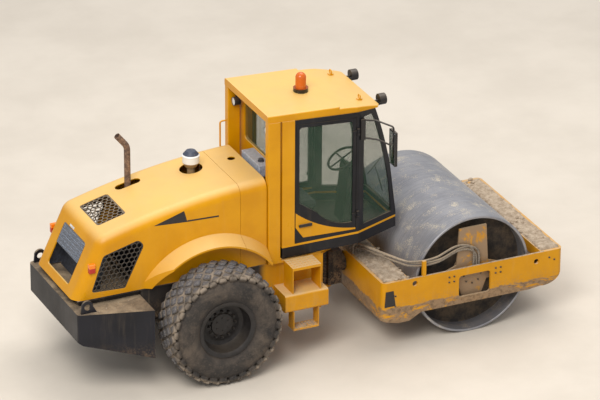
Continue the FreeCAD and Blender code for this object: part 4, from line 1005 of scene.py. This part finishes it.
def add_wiper():
    """Wiper blade that follows the windscreen, and its arm."""
    tree = surface("cab_glass")

    def on_screen(y, z, lift):
        return tree.ray_cast(Vector((1.6, y, z)), Vector((-1, 0, 0)))[0] + Vector((lift, 0, 0))

    blade = [on_screen(0.34 - 0.062 * step, 1.70 + 0.055 * step, 0.014) for step in range(9)]
    bar("wiper_blade", blade, 0.007, "rear_frame", "black_plastic")
    root, tip = on_screen(-0.02, 1.62, 0.030), blade[4]
    arm = [root, (root + tip) / 2 + Vector((0.012, 0, 0)), tip + Vector((0.006, 0, 0))]
    bar("wiper_arm", arm, 0.006, "rear_frame", "black_plastic")


# Cushions

CUSHION_BEVEL = 0.022
CUSHION_BULGE = 0.010
VOXEL = 0.008
PRESSURE = 4.0
CLOTH_FRAMES = 15
SEAM_DEPTH = 0.006
CHANNEL_DEPTH = 0.008


def apply_modifiers(made):
    """Replace an object's mesh by the one its modifiers give."""
    graph = bpy.context.evaluated_depsgraph_get()
    mesh = bpy.data.meshes.new_from_object(made.evaluated_get(graph), depsgraph=graph)
    made.modifiers.clear()
    made.data = mesh


def inflate(made):
    """Blow up a closed mesh as cloth under pressure, without gravity."""
    settings = made.modifiers.new("cloth", "CLOTH").settings
    settings.use_pressure = True
    settings.uniform_pressure_force = PRESSURE
    settings.effector_weights.gravity = 0.0
    for step in range(1, CLOTH_FRAMES + 1):
        bpy.context.scene.frame_set(step)
    apply_modifiers(made)
    bpy.context.scene.frame_set(1)


def sewn(start, end, half):
    """Place of a cushion's point: how far it may bulge, the sewn edge, channels and flat base."""
    move = end - start
    if move.length > CUSHION_BULGE:
        move *= CUSHION_BULGE / move.length
    place = start + move
    edge = max(abs(start.x) / half.x, abs(start.y) / half.y)
    if edge > 0.9:
        flat = Vector((place.x, place.y, 0)).normalized()
        seam = (place.z - half.z * 0.4) / SEAM_DEPTH
        place -= flat * SEAM_DEPTH * math.exp(-seam ** 2)
    if place.z > 0:
        channel = (abs(place.y) - half.y * 0.5) / CHANNEL_DEPTH
        place.z -= CHANNEL_DEPTH * math.exp(-channel ** 2)
    place.z = max(place.z, -half.z)
    return place


def cushion(name, centre, size, lean):
    """Padded block that rests on the plate below it; its last size is the padding's depth."""
    shape = bmesh.new()
    add_box(shape, size, Matrix(), CUSHION_BEVEL)
    made = piece(name, shape, "rear_frame", "seat_fabric", smooth=70)
    remesh = made.modifiers.new("remesh", "REMESH")
    remesh.mode = "VOXEL"
    remesh.voxel_size = VOXEL
    apply_modifiers(made)
    rest = [vert.co.copy() for vert in made.data.vertices]
    inflate(made)
    turn = Matrix.Translation(Vector(centre)) @ Matrix.Rotation(math.radians(lean), 4, "Y")
    half = Vector(size) / 2
    for vert, start in zip(made.data.vertices, rest):
        vert.co = turn @ sewn(start, vert.co, half)
    smoother = made.modifiers.new("smooth", "SUBSURF")
    smoother.levels = smoother.render_levels = 1
    apply_modifiers(made)
    made.data.polygons.foreach_set("use_smooth", [True] * len(made.data.polygons))
    return made


def add_seat():
    """Seat and back cushions, in place of the plain ones."""
    seat = cushion("seat_cushion", (0.045, 0, 1.7135), (0.366, 0.456, 0.086), 0)
    back = cushion("back_cushion", (-0.2065, 0, 2.05), (0.520, 0.436, 0.088), 82)
    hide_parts("seat_cushions")
    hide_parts("seat_cushions")


# Stage, light and camera

def add_stage():
    bpy.ops.mesh.primitive_plane_add(size=240, location=(0, 0, 0))
    floor = bpy.context.object
    floor.name = "floor"
    floor.data.materials.append(FINISHES["floor"])


def add_light():
    """Pale sky with a large warm light from the camera's side and one from above."""
    scene = bpy.context.scene
    world = scene.world or bpy.data.worlds.new("World")
    scene.world = world
    world.use_nodes = True
    background = world.node_tree.nodes["Background"]
    background.inputs["Color"].default_value = SKY
    background.inputs["Strength"].default_value = SKY_STRENGTH
    for name, place, size, power in (
        ("key", (-9.0, -10.0, 15.0), 9.0, 2500.0),
        ("top", (4.0, 4.0, 17.0), 14.0, 1900.0),
    ):
        lamp = bpy.data.lights.new(name, "AREA")
        lamp.size = size
        lamp.energy = power
        lamp.color = SUN
        holder = bpy.data.objects.new(name, lamp)
        holder.location = place
        aim = Vector((0, 0, 1.2)) - Vector(place)
        holder.rotation_euler = aim.to_track_quat("-Z", "Y").to_euler()
        scene.collection.objects.link(holder)


def add_camera():
    """Camera at its fitted place, turned by yaw, pitch and roll."""
    data = bpy.data.cameras.new("camera")
    data.lens = CAMERA_LENS
    data.sensor_width = CAMERA_SENSOR
    data.sensor_fit = "HORIZONTAL"
    data.clip_end = 500.0
    camera = bpy.data.objects.new("camera", data)
    turn = (Matrix.Rotation(math.radians(-CAMERA_YAW), 4, "Z")
            @ Matrix.Rotation(math.radians(90 + CAMERA_PITCH), 4, "X")
            @ Matrix.Rotation(math.radians(CAMERA_ROLL), 4, "Z"))
    camera.matrix_world = Matrix.Translation(CAMERA_PLACE) @ turn
    bpy.context.scene.collection.objects.link(camera)
    bpy.context.scene.camera = camera


# The whole scene

bpy.context.scene.view_settings.view_transform = "Standard"
add_stage()
add_light()
add_camera()
dress_nodes()
drum()
for wheel_side in (1, -1):
    tyre_carcass(wheel_side)
    tyre_blocks(wheel_side)
    rim(wheel_side)
    hood_stripe(wheel_side)
tail_screen()
radiator_ducts()
add_soil()
add_bolts()
add_lamps()
add_side_fittings()
add_tank_cap()
add_wiper()
add_seat()
